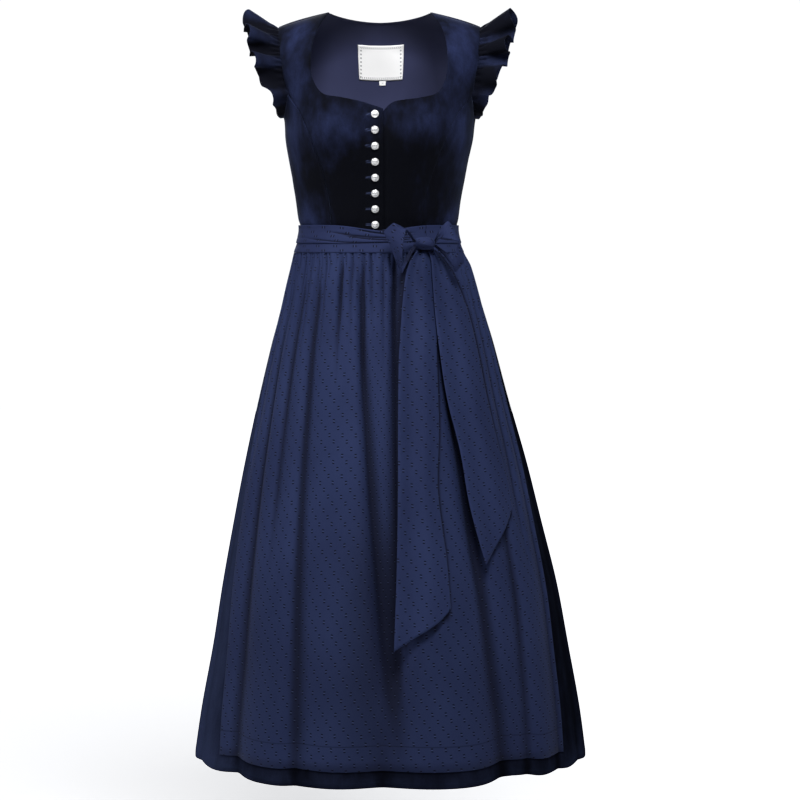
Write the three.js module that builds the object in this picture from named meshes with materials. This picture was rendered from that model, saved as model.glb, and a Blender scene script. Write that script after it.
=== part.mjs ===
// A dirndl, filled out as it is worn, with nobody in it: a buttoned velvet bodice with gathered
// armhole ruffles, a full gathered skirt, and a dotted apron whose ties are bound in a bow.
//
// Millimetres, +Z up. The front faces -Y, and +X is the viewer's right. The origin lies on the
// shoulder line, midway between the two points where the neck opening meets the shoulder seams.
//
// Every cloth is a thin wall: a grid of outer points, a grid of inner points, and four edges.

import * as THREE from "three";

// Which way a piece lies from the side seams
const FRONT = -1;
const BACK = 1;

// Walls
const SEAM_GAP = 0.3;
const BODICE_WALL = 1.8;
const SKIRT_WALL = 1.6;
const APRON_WALL = 1.2;
const BAND_WALL = 1.8;
const TIE_WALL = 1.4;
const RUFFLE_WALL = 1.5;
const LAYER_GAP = 0.7;

// Heights
const WAIST_SEAM = -360;
const BAND_BOTTOM = -380;
const BAND_TOP = -346;
const APRON_HEM = -1153;
const SKIRT_HEM = -1178;

// Shoulders
const NECK_POINT_X = 80;
const SHOULDER_X = 161;
const SHOULDER_DROP = 24;
const SHOULDER_ROUND = 78;
const NECK_RISE = 0.35;

// Colours
const VELVET = { color: 0x121727, roughness: 0.8, metalness: 0 };
const APRON = { color: 0x2b3456, roughness: 0.85, metalness: 0 };
const SILVER = { color: 0xdddee0, roughness: 0.25, metalness: 0.9 };
const WHITE = { color: 0xefefef, roughness: 0.9, metalness: 0 };

// The dress's sections from shoulder to hem: half widths at the viewer's left and right, depths in
// front and behind, and how square the oval is. 2 is an ellipse.
const SECTIONS = [
  { z: 40, left: 180, right: 180, front: 84, back: 80, square: 2.4 },
  { z: 0, left: 182, right: 182, front: 88, back: 84, square: 2.4 },
  { z: -30, left: 182, right: 182, front: 93, back: 90, square: 2.4 },
  { z: -64, left: 179, right: 179, front: 100, back: 96, square: 2.4 },
  { z: -100, left: 170, right: 170, front: 109, back: 101, square: 2.4 },
  { z: -134, left: 159, right: 160, front: 118, back: 102, square: 2.4 },
  { z: -170, left: 151, right: 151, front: 125, back: 99, square: 2.4 },
  { z: -202, left: 149, right: 147, front: 125, back: 95, square: 2.4 },
  { z: -233, left: 144, right: 140, front: 119, back: 90, square: 2.3 },
  { z: -265, left: 138, right: 134, front: 111, back: 86, square: 2.3 },
  { z: -297, left: 133, right: 128, front: 104, back: 82, square: 2.2 },
  { z: -327, left: 129, right: 124, front: 98, back: 80, square: 2.2 },
  { z: -341, left: 125, right: 121, front: 95, back: 79, square: 2.2 },
  { z: -360, left: 128, right: 124, front: 98, back: 83, square: 2.2 },
  { z: -380, left: 135, right: 132, front: 104, back: 91, square: 2.15 },
  { z: -400, left: 140, right: 143, front: 112, back: 100, square: 2.1 },
  { z: -430, left: 149, right: 154, front: 123, back: 111, square: 2.1 },
  { z: -470, left: 160, right: 167, front: 136, back: 124, square: 2.05 },
  { z: -520, left: 173, right: 182, front: 154, back: 142, square: 2.05 },
  { z: -616, left: 196, right: 208, front: 184, back: 172, square: 2 },
  { z: -712, left: 217, right: 236, front: 213, back: 197, square: 2 },
  { z: -809, left: 236, right: 261, front: 240, back: 221, square: 2 },
  { z: -906, left: 254, right: 286, front: 266, back: 243, square: 2 },
  { z: -1003, left: 270, right: 305, front: 287, back: 262, square: 2 },
  { z: -1101, left: 289, right: 324, front: 305, back: 278, square: 2 },
  { z: -1190, left: 303, right: 337, front: 318, back: 290, square: 2 },
];

// The two cups that the princess seams shape in the front.
const CUP = { x: 74, z: -192, wide: 44, tall: 46, proud: 9 };

// Rows of the front, from the waist seam to the shoulder: the height at the outer edge, and the
// inner edge of each side, which runs up the closing and then along the sweetheart neckline.
const FRONT_ROWS = [
  { outer: -360, leftX: 6, leftZ: -360, rightX: -14, rightZ: -360 },
  { outer: -346, leftX: 6, leftZ: -346, rightX: -14, rightZ: -346 },
  { outer: -322, leftX: 6, leftZ: -320, rightX: -14, rightZ: -320 },
  { outer: -294, leftX: 6, leftZ: -290, rightX: -14, rightZ: -290 },
  { outer: -265, leftX: 6, leftZ: -258, rightX: -14, rightZ: -258 },
  { outer: -237, leftX: 6, leftZ: -225, rightX: -14, rightZ: -225 },
  { outer: -210, leftX: 6, leftZ: -191, rightX: -14, rightZ: -191 },
  { outer: -186, leftX: 6, leftZ: -158, rightX: 7.4, rightZ: -160 },
  { outer: -168, leftX: -28, leftZ: -147, rightX: 24, rightZ: -147 },
  { outer: -151, leftX: -60, leftZ: -140, rightX: 62, rightZ: -141 },
  { outer: -134, leftX: -89, leftZ: -133, rightX: 91, rightZ: -132 },
  { outer: -110, leftX: -105, leftZ: -107, rightX: 104, rightZ: -106 },
  { outer: -86, leftX: -107, leftZ: -77, rightX: 106, rightZ: -79 },
  { outer: -62, leftX: -103, leftZ: -49, rightX: 104, rightZ: -49 },
  { outer: -45, leftX: -95, leftZ: -27, rightX: 97, rightZ: -26 },
  { outer: -33, leftX: -87, leftZ: -11, rightX: 88, rightZ: -11 },
  { outer: -26.5, leftX: -82, leftZ: -3, rightX: 82, rightZ: -3 },
  { outer: -24, leftX: -80, leftZ: 0, rightX: 80, rightZ: 0 },
];
const SEAM_ROWS = 10;

// The front's outer edge: the princess seam up to the armhole, then the armhole's edge.
const FRONT_SEAM = [
  { z: -360, left: 75, right: 66 },
  { z: -338, left: 76, right: 66 },
  { z: -300, left: 79, right: 70 },
  { z: -255, left: 89, right: 84 },
  { z: -211, left: 104, right: 101 },
  { z: -167, left: 122, right: 121 },
  { z: -134, left: 142, right: 145 },
  { z: -110, left: 150, right: 151 },
  { z: -86, left: 154, right: 155 },
  { z: -62, left: 157, right: 157 },
  { z: -24, left: 161, right: 161 },
];

// The back's outer edge, the same on both sides, and its rows.
const BACK_SEAM = [
  { z: -360, half: 54 },
  { z: -330, half: 57 },
  { z: -280, half: 66 },
  { z: -230, half: 82 },
  { z: -180, half: 104 },
  { z: -140, half: 129 },
  { z: -112, half: 147 },
  { z: -88, half: 153 },
  { z: -62, half: 157 },
  { z: -24, half: 161 },
];
const BACK_ROWS = [
  -360, -346, -322, -294, -265, -237, -210, -184, -159, -135, -112, -88, -66, -50, -40, -32.5, -26.5, -24,
];
const UNDERARM = -170;
const BACK_NECK_DROP = 10;
const BACK_COLUMNS = [0, 0.12, 0.245, 0.37, NECK_POINT_X / SHOULDER_X, 0.66, 0.83, 1];

// The gathered cloths. Angles are degrees from the front, + to the viewer's right. The apron ends
// at the second and third of these threads and the side seams lie at the others.
const THREADS = [
  { top: -97, hem: -95 },
  { top: -86, hem: -56 },
  { top: 86, hem: 60 },
  { top: 97, hem: 95 },
  { top: 263, hem: 265 },
];
const [SEAM_LEFT, APRON_LEFT, APRON_RIGHT, SEAM_RIGHT, SEAM_ROUND] = THREADS.map((thread) => thread.top);

// Gathers: where each valley leaves the band, how far down it runs, and how deep it is.
const FRONT_GATHERS = [
  { at: -91.5, reach: 90, deep: 4 },
  { at: -80, reach: 130, deep: 4.4 },
  { at: -72, reach: 210, deep: 5 },
  { at: -64, reach: 120, deep: 4 },
  { at: -57, reach: 230, deep: 5.4 },
  { at: -50, reach: 130, deep: 4.4 },
  { at: -43, reach: 190, deep: 5 },
  { at: -36, reach: 110, deep: 4 },
  { at: -30, reach: 90, deep: 3.4 },
  { at: -24, reach: 150, deep: 5 },
  { at: -17, reach: 120, deep: 4 },
  { at: -9.8, reach: 230, deep: 5 },
  { at: -4, reach: 110, deep: 3.6 },
  { at: 2, reach: 150, deep: 4.6 },
  { at: 10, reach: 240, deep: 5 },
  { at: 18, reach: 120, deep: 4.2 },
  { at: 26, reach: 210, deep: 5 },
  { at: 34, reach: 130, deep: 4.4 },
  { at: 43, reach: 200, deep: 5 },
  { at: 53, reach: 140, deep: 4.4 },
  { at: 63, reach: 210, deep: 5 },
  { at: 72, reach: 130, deep: 4.4 },
  { at: 80, reach: 180, deep: 4.8 },
  { at: 91.5, reach: 90, deep: 4 },
];
const BACK_GATHERS = { count: 22, first: 100.5, pitch: 7.57, reach: 150, reachVaries: 90, deep: 5, deepVaries: 1.1 };
const GATHERS = [
  ...FRONT_GATHERS,
  ...Array.from({ length: BACK_GATHERS.count }, (_, i) => ({
    at: BACK_GATHERS.first + i * BACK_GATHERS.pitch,
    reach: BACK_GATHERS.reach + BACK_GATHERS.reachVaries * Math.sin(1.9 * i + 0.6),
    deep: BACK_GATHERS.deep + BACK_GATHERS.deepVaries * Math.sin(2.7 * i + 1.3),
  })),
];
const GATHER_WIDE = 2.4;
const STEPS_PER_GATHER = 3;
const SKIRT_LEVELS = [
  -360.3, -380.3, -405, -444, -508, -605, -735, -880, -1025, -1153, -1178,
];

// Long folds: where each valley starts and ends, how wide and deep it is at each end.
const LONG_FOLDS = [
  { top: -1, hem: 1, wideTop: 6, wideHem: 12, deepTop: 2, deepHem: 15, from: -400, to: -1400 },
  { top: -12.4, hem: 9, wideTop: 3, wideHem: 4, deepTop: 5, deepHem: 11, from: -385, to: -980 },
  { top: 8.6, hem: 5.5, wideTop: 3, wideHem: 3, deepTop: 7, deepHem: 9, from: -385, to: -850 },
  { top: -40, hem: -25, wideTop: 3, wideHem: 5.2, deepTop: 6, deepHem: 13, from: -385, to: -1250 },
  { top: -53, hem: -37, wideTop: 3, wideHem: 4.6, deepTop: 6, deepHem: 7, from: -385, to: -900 },
  { top: -24, hem: -15, wideTop: 2.6, wideHem: 3, deepTop: 4, deepHem: 2, from: -385, to: -560 },
  { top: -66, hem: -49, wideTop: 3, wideHem: 6, deepTop: 5, deepHem: 12, from: -390, to: -1400 },
  { top: -77, hem: -58, wideTop: 3, wideHem: 3.6, deepTop: 4, deepHem: 3, from: -390, to: -800 },
  { top: 24, hem: 19, wideTop: 3, wideHem: 4, deepTop: 4, deepHem: 2, from: -385, to: -700 },
  { top: 31, hem: 37, wideTop: 3, wideHem: 7, deepTop: 6, deepHem: 18, from: -390, to: -1400 },
  { top: 44, hem: 31, wideTop: 3, wideHem: 3, deepTop: 5, deepHem: 5, from: -390, to: -900 },
  { top: 55, hem: 45, wideTop: 3, wideHem: 3.4, deepTop: 5, deepHem: 7, from: -390, to: -1400 },
  { top: 70, hem: 49, wideTop: 3, wideHem: 3.4, deepTop: 6, deepHem: 5, from: -385, to: -900 },
  { top: 79, hem: 58, wideTop: 3, wideHem: 3.4, deepTop: 4, deepHem: 6, from: -390, to: -1400 },
  { top: 86, hem: 72, wideTop: 3.6, wideHem: 5, deepTop: 4, deepHem: 7, from: -400, to: -1400 },
  { top: 95, hem: 86, wideTop: 4, wideHem: 6, deepTop: 3, deepHem: 5, from: -450, to: -1400 },
  { top: -86, hem: -72, wideTop: 3.6, wideHem: 5, deepTop: 4, deepHem: 6, from: -400, to: -1400 },
  { top: -95, hem: -86, wideTop: 4, wideHem: 6, deepTop: 3, deepHem: 4, from: -450, to: -1400 },
  { top: 104, hem: 101, wideTop: 4, wideHem: 5, deepTop: 6, deepHem: 16, from: -400, to: -1400 },
  { top: 119, hem: 116, wideTop: 4, wideHem: 5, deepTop: 7, deepHem: 20, from: -390, to: -1400 },
  { top: 134, hem: 131, wideTop: 4, wideHem: 5, deepTop: 7, deepHem: 14, from: -420, to: -1400 },
  { top: 149, hem: 148, wideTop: 4, wideHem: 6, deepTop: 8, deepHem: 22, from: -390, to: -1400 },
  { top: 163, hem: 166, wideTop: 4, wideHem: 5, deepTop: 7, deepHem: 12, from: -400, to: -1000 },
  { top: 178, hem: 181, wideTop: 4, wideHem: 6, deepTop: 8, deepHem: 21, from: -390, to: -1400 },
  { top: 194, hem: 196, wideTop: 4, wideHem: 5, deepTop: 7, deepHem: 15, from: -410, to: -1400 },
  { top: 209, hem: 212, wideTop: 4, wideHem: 6, deepTop: 8, deepHem: 22, from: -390, to: -1400 },
  { top: 225, hem: 228, wideTop: 4, wideHem: 5, deepTop: 7, deepHem: 13, from: -430, to: -1400 },
  { top: 241, hem: 244, wideTop: 4, wideHem: 5, deepTop: 7, deepHem: 20, from: -390, to: -1400 },
  { top: 256, hem: 259, wideTop: 4, wideHem: 5, deepTop: 6, deepHem: 15, from: -400, to: -1400 },
];

// Ruffle: how wide the strip is, how far it tips up and forward, and how deep its waves are, from
// its front end (0) over the shoulder (0.5) to its back end (1).
const RUFFLE_ROWS = [
  { at: 0, wide: 5, up: -0.1, ahead: 0.1, wave: 0.5 },
  { at: 0.12, wide: 22, up: -0.12, ahead: 0.3, wave: 4 },
  { at: 0.25, wide: 41, up: 0, ahead: 0.36, wave: 11 },
  { at: 0.38, wide: 52, up: 0.22, ahead: 0.26, wave: 14 },
  { at: 0.5, wide: 58, up: 0.4, ahead: 0, wave: 15 },
  { at: 0.62, wide: 52, up: 0.22, ahead: -0.26, wave: 14 },
  { at: 0.75, wide: 41, up: 0, ahead: -0.36, wave: 11 },
  { at: 0.88, wide: 22, up: -0.12, ahead: -0.3, wave: 4 },
  { at: 1, wide: 5, up: -0.1, ahead: -0.1, wave: 0.5 },
];
const RUFFLE_WAVES = 8;
const RUFFLE_STEPS = 50;
const RUFFLE_STRIPS = 3;
const RUFFLE_STANDOFF = 1.2;
const RUFFLE_UNEVEN = 0.16;
const RUFFLE_SCALLOP = 0.2;

// Buttons
const BUTTONS = { count: 8, x: -6.5, top: -167, pitch: 24.2, radius: 6, proud: 4.2 };

// Label, as rows and columns of the centre back's own grid.
const LABEL = { wall: 0.8, rows: [10, 11, 12, 12.45], columns: [5, 6, 7, 8, 8.9] };
const LABEL_TAB = { wall: 0.8, rows: [9.68, 9.98], columns: [6.5, 7, 7.1] };

// Ties
const WRAP = { top: -337, dip: 8, dipAngle: 2, dipWide: 19, bottom: -365, from: 33.1, to: 392.9 };
const TIE_BACK = { top: -348, bottom: -378, from: 92.2, to: 267.8 };
const BAND_END = 92;
const KNOT = { x: 70.5, z: -365.5, wide: 16, deep: 17, tall: 10.5, stand: 14 };
const LOOPS = {
  left: {
    front: [
      [54.1, -108, -362], [49, -124, -352], [42.5, -138, -345], [40.5, -142, -348], [37, -148, -366],
      [35, -149, -388], [34, -143, -406], [35.5, -138, -411], [41, -129, -399], [47.5, -117, -384],
      [54.1, -108, -371],
    ],
    back: [
      [54.1, -103, -361], [40, -124, -345], [22.5, -133, -335], [19.5, -133, -336], [8, -131, -347],
      [8.5, -131, -350.5], [18, -132, -370], [27, -132, -394], [33, -128, -404], [42, -112, -386],
      [54.1, -103, -370],
    ],
  },
  right: {
    front: [
      [86.3, -102, -363], [95, -126, -357], [106, -134, -358], [118, -136, -361], [121.5, -132, -364],
      [119, -127, -374], [114, -123, -388], [108, -118, -384], [98, -110, -377], [86.4, -102, -370],
    ],
    back: [
      [86.3, -96, -362], [95, -115, -342], [104, -126, -332], [109, -126, -333], [119, -125, -352],
      [128, -122, -377], [131.5, -120, -393], [128, -119, -398], [119, -117, -409.5],
      [115, -115, -406], [101, -103, -383], [86.4, -96, -369],
    ],
  },
};
const LOOP_STEPS = 22;
// Tails: the left and right edges, each from the knot down to the slanted end.
const TAILS = {
  left: {
    stand: 6,
    rows: [
      { z: -376.5, from: 58, to: 75, slant: 0 },
      { z: -394, from: 47, to: 78, slant: 0 },
      { z: -414, from: 41, to: 79, slant: 0 },
      { z: -483, from: 34, to: 84, slant: 0 },
      { z: -547, from: 30, to: 89, slant: 0 },
      { z: -649, from: 29, to: 92, slant: 0 },
      { z: -739, from: 29, to: 90, slant: 0 },
      { z: -850, from: 27, to: 103, slant: 12 },
      { z: -948, from: 23, to: 109, slant: 50 },
    ],
  },
  right: {
    stand: 7,
    rows: [
      { z: -375.9, from: 77, to: 89, slant: 0 },
      { z: -394, from: 81, to: 103, slant: 0 },
      { z: -412, from: 82, to: 115, slant: 0 },
      { z: -466, from: 86, to: 137, slant: 0 },
      { z: -520, from: 92, to: 151, slant: 0 },
      { z: -600, from: 104, to: 167, slant: 0 },
      { z: -680, from: 125, to: 184, slant: 10 },
      { z: -750, from: 139, to: 199, slant: 30 },
      { z: -818, from: 163, to: 206, slant: 70 },
    ],
  },
};
const TAIL_COLUMNS = 6;
const TAIL_CREASE = 2.5;

const { lerp, clamp, degToRad, radToDeg } = THREE.MathUtils;

// The value of a table's column at a place, on a smooth curve through its rows.
function along(rows, key, name, place) {
  const rising = rows[1][key] > rows[0][key];
  let i = rows.findIndex((row) => (rising ? row[key] > place : row[key] < place));
  i = i < 0 ? rows.length - 1 : Math.max(i, 1);
  const [a, b] = [rows[i - 1], rows[i]];
  const before = rows[Math.max(i - 2, 0)];
  const after = rows[Math.min(i + 1, rows.length - 1)];
  const step = b[key] - a[key];
  const t = clamp((place - a[key]) / step, 0, 1);
  const slopeA = ((b[name] - before[name]) / (b[key] - before[key])) * step;
  const slopeB = ((after[name] - a[name]) / (after[key] - a[key])) * step;
  const t2 = t * t;
  const t3 = t2 * t;
  return (
    (2 * t3 - 3 * t2 + 1) * a[name] +
    (t3 - 2 * t2 + t) * slopeA +
    (3 * t2 - 2 * t3) * b[name] +
    (t3 - t2) * slopeB
  );
}

// Half the dress's width on one side at a height.
function halfWidth(z, side) {
  return along(SECTIONS, "z", side < 0 ? "left" : "right", z);
}

// The angle at which a section's outline reaches x.
function angleAt(x, z) {
  const share = clamp(Math.abs(x) / halfWidth(z, x), 0, 1);
  const square = along(SECTIONS, "z", "square", z);
  return Math.sign(x) * radToDeg(Math.asin(share ** (square / 2)));
}

// The height of the shoulder seam, and of the neck's own slope inside it.
function shoulderHeight(x) {
  const beyond = Math.abs(x) - NECK_POINT_X;
  return beyond > 0 ? (-SHOULDER_DROP * beyond) / (SHOULDER_X - NECK_POINT_X) : -beyond * NECK_RISE;
}

// A point on the dress's outer form. The depth closes over the shoulder as a quarter round.
function formPoint(angle, z) {
  const turn = degToRad(angle);
  const [sine, cosine] = [Math.sin(turn), Math.cos(turn)];
  const power = 2 / along(SECTIONS, "z", "square", z);
  const x = Math.sign(sine) * halfWidth(z, sine) * Math.abs(sine) ** power;
  const depth = along(SECTIONS, "z", cosine > 0 ? "front" : "back", z);
  const below = clamp((shoulderHeight(x) - z) / SHOULDER_ROUND, 0, 1);
  const closing = z < -200 ? 1 : Math.sqrt(1 - (1 - below) ** 2);
  let y = -Math.sign(cosine) * depth * Math.abs(cosine) ** power * closing;
  if (cosine > 0) {
    const aside = (Math.abs(x) - CUP.x) / CUP.wide;
    const above = (z - CUP.z) / CUP.tall;
    y -= CUP.proud * Math.exp(-aside * aside - above * above);
  }
  return new THREE.Vector3(x, y, z);
}

// A point of the form pushed straight out from the dress's axis.
function pushedPoint(angle, z, out) {
  const point = formPoint(angle, z);
  const scale = 1 + out / Math.hypot(point.x, point.y);
  return new THREE.Vector3(point.x * scale, point.y * scale, z);
}

// The point at x on the front of the form pushed out, found by stepping to it.
function pointOver(x, z, out) {
  let point = pushedPoint(angleAt(x, z), z, out);
  let start = x;
  for (let i = 0; i < 4; i++) {
    start += x - point.x;
    point = pushedPoint(angleAt(start, z), z, out);
  }
  return point;
}

function makeGrid(rows, columns, pointAt) {
  return Array.from({ length: rows + 1 }, (_, r) =>
    Array.from({ length: columns + 1 }, (_, c) => pointAt(r, c)),
  );
}

// The direction of a line of points at one of them, on the parabola through three neighbours.
function slopeAt(line, i) {
  const last = line.length - 1;
  if (i > 0 && i < last) {
    return line[i + 1].clone().sub(line[i - 1]);
  }
  const inward = i === 0 ? 1 : -1;
  const slope = line[i + inward].clone().multiplyScalar(4).addScaledVector(line[i], -3);
  return slope.sub(line[i + 2 * inward]).multiplyScalar(inward);
}

// The unit normal of a grid at each point.
function gridNormals(grid) {
  const columnLines = grid[0].map((_, c) => grid.map((row) => row[c]));
  return makeGrid(grid.length - 1, grid[0].length - 1, (r, c) =>
    slopeAt(grid[r], c).cross(slopeAt(columnLines[c], r)).normalize(),
  );
}

function offsetGrid(grid, distance) {
  const normals = gridNormals(grid);
  return grid.map((row, r) => row.map((point, c) => point.clone().addScaledVector(normals[r][c], distance)));
}

// A point between a grid's points, at fractional row and column.
function between(grid, r, c) {
  const r0 = Math.min(Math.floor(r), grid.length - 2);
  const c0 = Math.min(Math.floor(c), grid[0].length - 2);
  const low = grid[r0][c0].clone().lerp(grid[r0][c0 + 1], c - c0);
  const high = grid[r0 + 1][c0].clone().lerp(grid[r0 + 1][c0 + 1], c - c0);
  return low.lerp(high, r - r0);
}

// A closed wall from its outer and inner grids, both split along the same diagonals.
function wall(name, outer, inner, finish) {
  const [rows, columns] = [outer.length - 1, outer[0].length - 1];
  const points = [...outer.flat(), ...inner.flat()];
  const half = (rows + 1) * (columns + 1);
  const at = (r, c, side) => side * half + r * (columns + 1) + c;
  const index = [];
  const quad = (a, b, c, d) => index.push(a, b, c, a, c, d);
  for (let r = 0; r < rows; r++) {
    for (let c = 0; c < columns; c++) {
      quad(at(r, c, 0), at(r, c + 1, 0), at(r + 1, c + 1, 0), at(r + 1, c, 0));
      quad(at(r, c, 1), at(r + 1, c, 1), at(r + 1, c + 1, 1), at(r, c + 1, 1));
    }
  }
  for (let c = 0; c < columns; c++) {
    quad(at(0, c + 1, 0), at(0, c, 0), at(0, c, 1), at(0, c + 1, 1));
    quad(at(rows, c, 0), at(rows, c + 1, 0), at(rows, c + 1, 1), at(rows, c, 1));
  }
  for (let r = 0; r < rows; r++) {
    quad(at(r, 0, 0), at(r + 1, 0, 0), at(r + 1, 0, 1), at(r, 0, 1));
    quad(at(r + 1, columns, 0), at(r, columns, 0), at(r, columns, 1), at(r + 1, columns, 1));
  }
  return solid(name, points, index, finish);
}

// A mesh from points and triangles, turned so that its faces point out.
function solid(name, points, index, finish) {
  let volume = 0;
  for (let i = 0; i < index.length; i += 3) {
    const [a, b, c] = [points[index[i]], points[index[i + 1]], points[index[i + 2]]];
    volume += a.dot(b.clone().cross(c));
  }
  if (volume < 0) {
    index.reverse();
  }
  const geometry = new THREE.BufferGeometry().setFromPoints(points);
  geometry.setIndex(index);
  geometry.computeVertexNormals();
  const mesh = new THREE.Mesh(geometry, new THREE.MeshStandardMaterial(finish));
  mesh.name = name;
  return mesh;
}

// Front and back pieces part at the shoulder and side seams, which lie in the plane y = 0, and all
// of them end at the waist seam.
function panel(name, grid, side) {
  const layers = [grid, offsetGrid(grid, -BODICE_WALL)];
  layers.flat(2).forEach((point) => {
    point.y = side * Math.max(side * point.y, SEAM_GAP / 2);
    point.z = Math.max(point.z, WAIST_SEAM);
  });
  return wall(name, ...layers, VELVET);
}

// A ruled row of the form between two places given by x and height.
function ruledPoint(x0, z0, x1, z1, share) {
  const z = lerp(z0, z1, share);
  return formPoint(lerp(angleAt(x0, z0), angleAt(x1, z1), share), z);
}

// The fronts. The right one steps in behind the left one's closing edge.
const FRONT_COLUMNS = 7;
const LAP_STEP = BODICE_WALL + 0.9;
const LAP_REACH = 8;
const LAP_UNDER_END = 8.4;
const LAP_TURN = 12;
function frontGrid(side) {
  const key = side < 0 ? "left" : "right";
  return makeGrid(FRONT_ROWS.length - 1, FRONT_COLUMNS + (side > 0 ? 1 : 0), (r, c) => {
    const row = FRONT_ROWS[r];
    const outerX = side * (along(FRONT_SEAM, "z", key, row.outer) - (r <= SEAM_ROWS ? SEAM_GAP / 2 : 0));
    const [innerX, innerZ] = [row[`${key}X`], row[`${key}Z`]];
    if (side < 0) {
      return ruledPoint(outerX, row.outer, innerX, innerZ, c / FRONT_COLUMNS);
    }
    // The first column past the lap takes the step, so it stands just inside the left front's edge.
    const underLap = innerX < LAP_REACH;
    const turnX = underLap ? LAP_TURN : lerp(innerX, outerX, 1 / (FRONT_COLUMNS + 1));
    const turnZ = underLap ? innerZ : lerp(innerZ, row.outer, 1 / (FRONT_COLUMNS + 1));
    if (c === 0) {
      const point = ruledPoint(innerX, innerZ, innerX, innerZ, 0);
      point.y += underLap ? LAP_STEP : 0;
      return point;
    }
    if (c === 1) {
      const x = underLap ? LAP_UNDER_END : lerp(innerX, turnX, 0.5);
      const z = underLap ? innerZ : lerp(innerZ, turnZ, 0.5);
      const point = ruledPoint(x, z, x, z, 0);
      point.y += underLap ? LAP_STEP : 0;
      return point;
    }
    return ruledPoint(turnX, turnZ, outerX, row.outer, (c - 2) / (FRONT_COLUMNS - 1));
  });
}

// The side fronts and side backs, from the shaped seam round to the side seam.
const SIDE_COLUMNS = 5;
const ARMHOLE_SCOOP = 9;
function sideGrid(side, back) {
  const key = side < 0 ? "left" : "right";
  return makeGrid(SEAM_ROWS, SIDE_COLUMNS, (r, c) => {
    const seamZ = back ? BACK_ROWS[r] : FRONT_ROWS[r].outer;
    const seamX = back ? along(BACK_SEAM, "z", "half", seamZ) : along(FRONT_SEAM, "z", key, seamZ);
    const start = angleAt(side * (seamX + SEAM_GAP / 2), seamZ);
    const from = back ? side * 180 - start : start;
    const sideZ = lerp(WAIST_SEAM, UNDERARM, r / SEAM_ROWS);
    const share = c / SIDE_COLUMNS;
    const scoop = ARMHOLE_SCOOP * Math.sin(Math.PI * share) * (r / SEAM_ROWS) ** 3;
    return formPoint(lerp(from, side * 90, share), lerp(seamZ, sideZ, share) - scoop);
  });
}

// The centre back, with both back straps and the back neck.
function backGrid() {
  const shares = [...BACK_COLUMNS.slice(1).reverse().map((u) => -u), ...BACK_COLUMNS];
  const top = BACK_ROWS[BACK_ROWS.length - 1];
  return makeGrid(BACK_ROWS.length - 1, shares.length - 1, (r, c) => {
    const share = shares[c];
    const outerX = along(BACK_SEAM, "z", "half", BACK_ROWS[r]) - (r <= SEAM_ROWS ? SEAM_GAP / 2 : 0);
    const x = share * outerX;
    const topX = share * SHOULDER_X;
    const neck = -BACK_NECK_DROP * (1 - (topX / NECK_POINT_X) ** 2);
    const topZ = Math.abs(topX) < NECK_POINT_X ? neck : shoulderHeight(topX);
    const rise = (BACK_ROWS[r] - WAIST_SEAM) / (top - WAIST_SEAM);
    const z = lerp(WAIST_SEAM, topZ, rise);
    return formPoint(180 - angleAt(x, z), z);
  });
}

// A ruffle stands on the armhole's edge, from the underarm over the shoulder to the underarm.
function ruffle(name, side, front, sideFront, sideBack, back) {
  const last = (grid) => grid.length - 1;
  const edge = [];
  const push = (rim, inside) => edge.push({ rim, away: rim.clone().sub(inside).normalize() });
  for (let c = SIDE_COLUMNS - 1; c >= 1; c--) {
    push(sideFront[SEAM_ROWS][c], sideFront[SEAM_ROWS - 1][c]);
  }
  const frontRim = side < 0 ? 0 : front[0].length - 1;
  for (let r = SEAM_ROWS; r < last(front); r++) {
    push(front[r][frontRim], front[r][frontRim + (side < 0 ? 1 : -1)]);
  }
  const backRim = side < 0 ? 0 : back[0].length - 1;
  for (let r = last(back); r >= SEAM_ROWS; r--) {
    push(back[r][backRim], back[r][backRim + (side < 0 ? 1 : -1)]);
  }
  for (let c = 1; c < SIDE_COLUMNS; c++) {
    push(sideBack[SEAM_ROWS][c], sideBack[SEAM_ROWS - 1][c]);
  }
  const rimCurve = new THREE.CatmullRomCurve3(
    edge.map(({ rim, away }) => rim.clone().addScaledVector(away, RUFFLE_STANDOFF)),
  );
  const phaseAt = (t) => 2 * Math.PI * (RUFFLE_WAVES * t + RUFFLE_UNEVEN * Math.sin(6 * Math.PI * t));
  const lobeAt = (t) => 0.86 + RUFFLE_SCALLOP * Math.abs(Math.cos(phaseAt(t) / 2 - Math.PI / 4)) ** 0.7;
  const middle = makeGrid(RUFFLE_STRIPS, RUFFLE_STEPS, (r, c) => {
    const t = c / RUFFLE_STEPS;
    const base = rimCurve.getPointAt(t);
    const run = rimCurve.getTangentAt(t);
    const lean = new THREE.Vector3(
      side,
      -along(RUFFLE_ROWS, "at", "ahead", t),
      along(RUFFLE_ROWS, "at", "up", t),
    ).normalize();
    const face = run.clone().cross(lean).normalize();
    const share = r / RUFFLE_STRIPS;
    const width = along(RUFFLE_ROWS, "at", "wide", t) * lobeAt(t);
    const wave = along(RUFFLE_ROWS, "at", "wave", t) * share ** 0.8 * Math.sin(phaseAt(t));
    return base.addScaledVector(lean, width * share).addScaledVector(face, wave);
  });
  const outer = offsetGrid(middle, RUFFLE_WALL / 2);
  const inner = offsetGrid(middle, -RUFFLE_WALL / 2);
  return wall(name, outer, inner, VELVET);
}

// How far a gathered cloth lies inside its outline at a thread, given by its angle at the band.
function gatherDepth(thread, z) {
  const below = BAND_BOTTOM - z;
  const opening = clamp(0.25 + below / 40, 0.25, 1);
  const depths = GATHERS.map((gather) => {
    const fading = clamp(1 - (below - 50) / gather.reach, 0, 1);
    const apart = (thread - gather.at) / GATHER_WIDE;
    return gather.deep * fading * Math.exp(-apart * apart);
  });
  return opening * Math.max(...depths);
}

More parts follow.
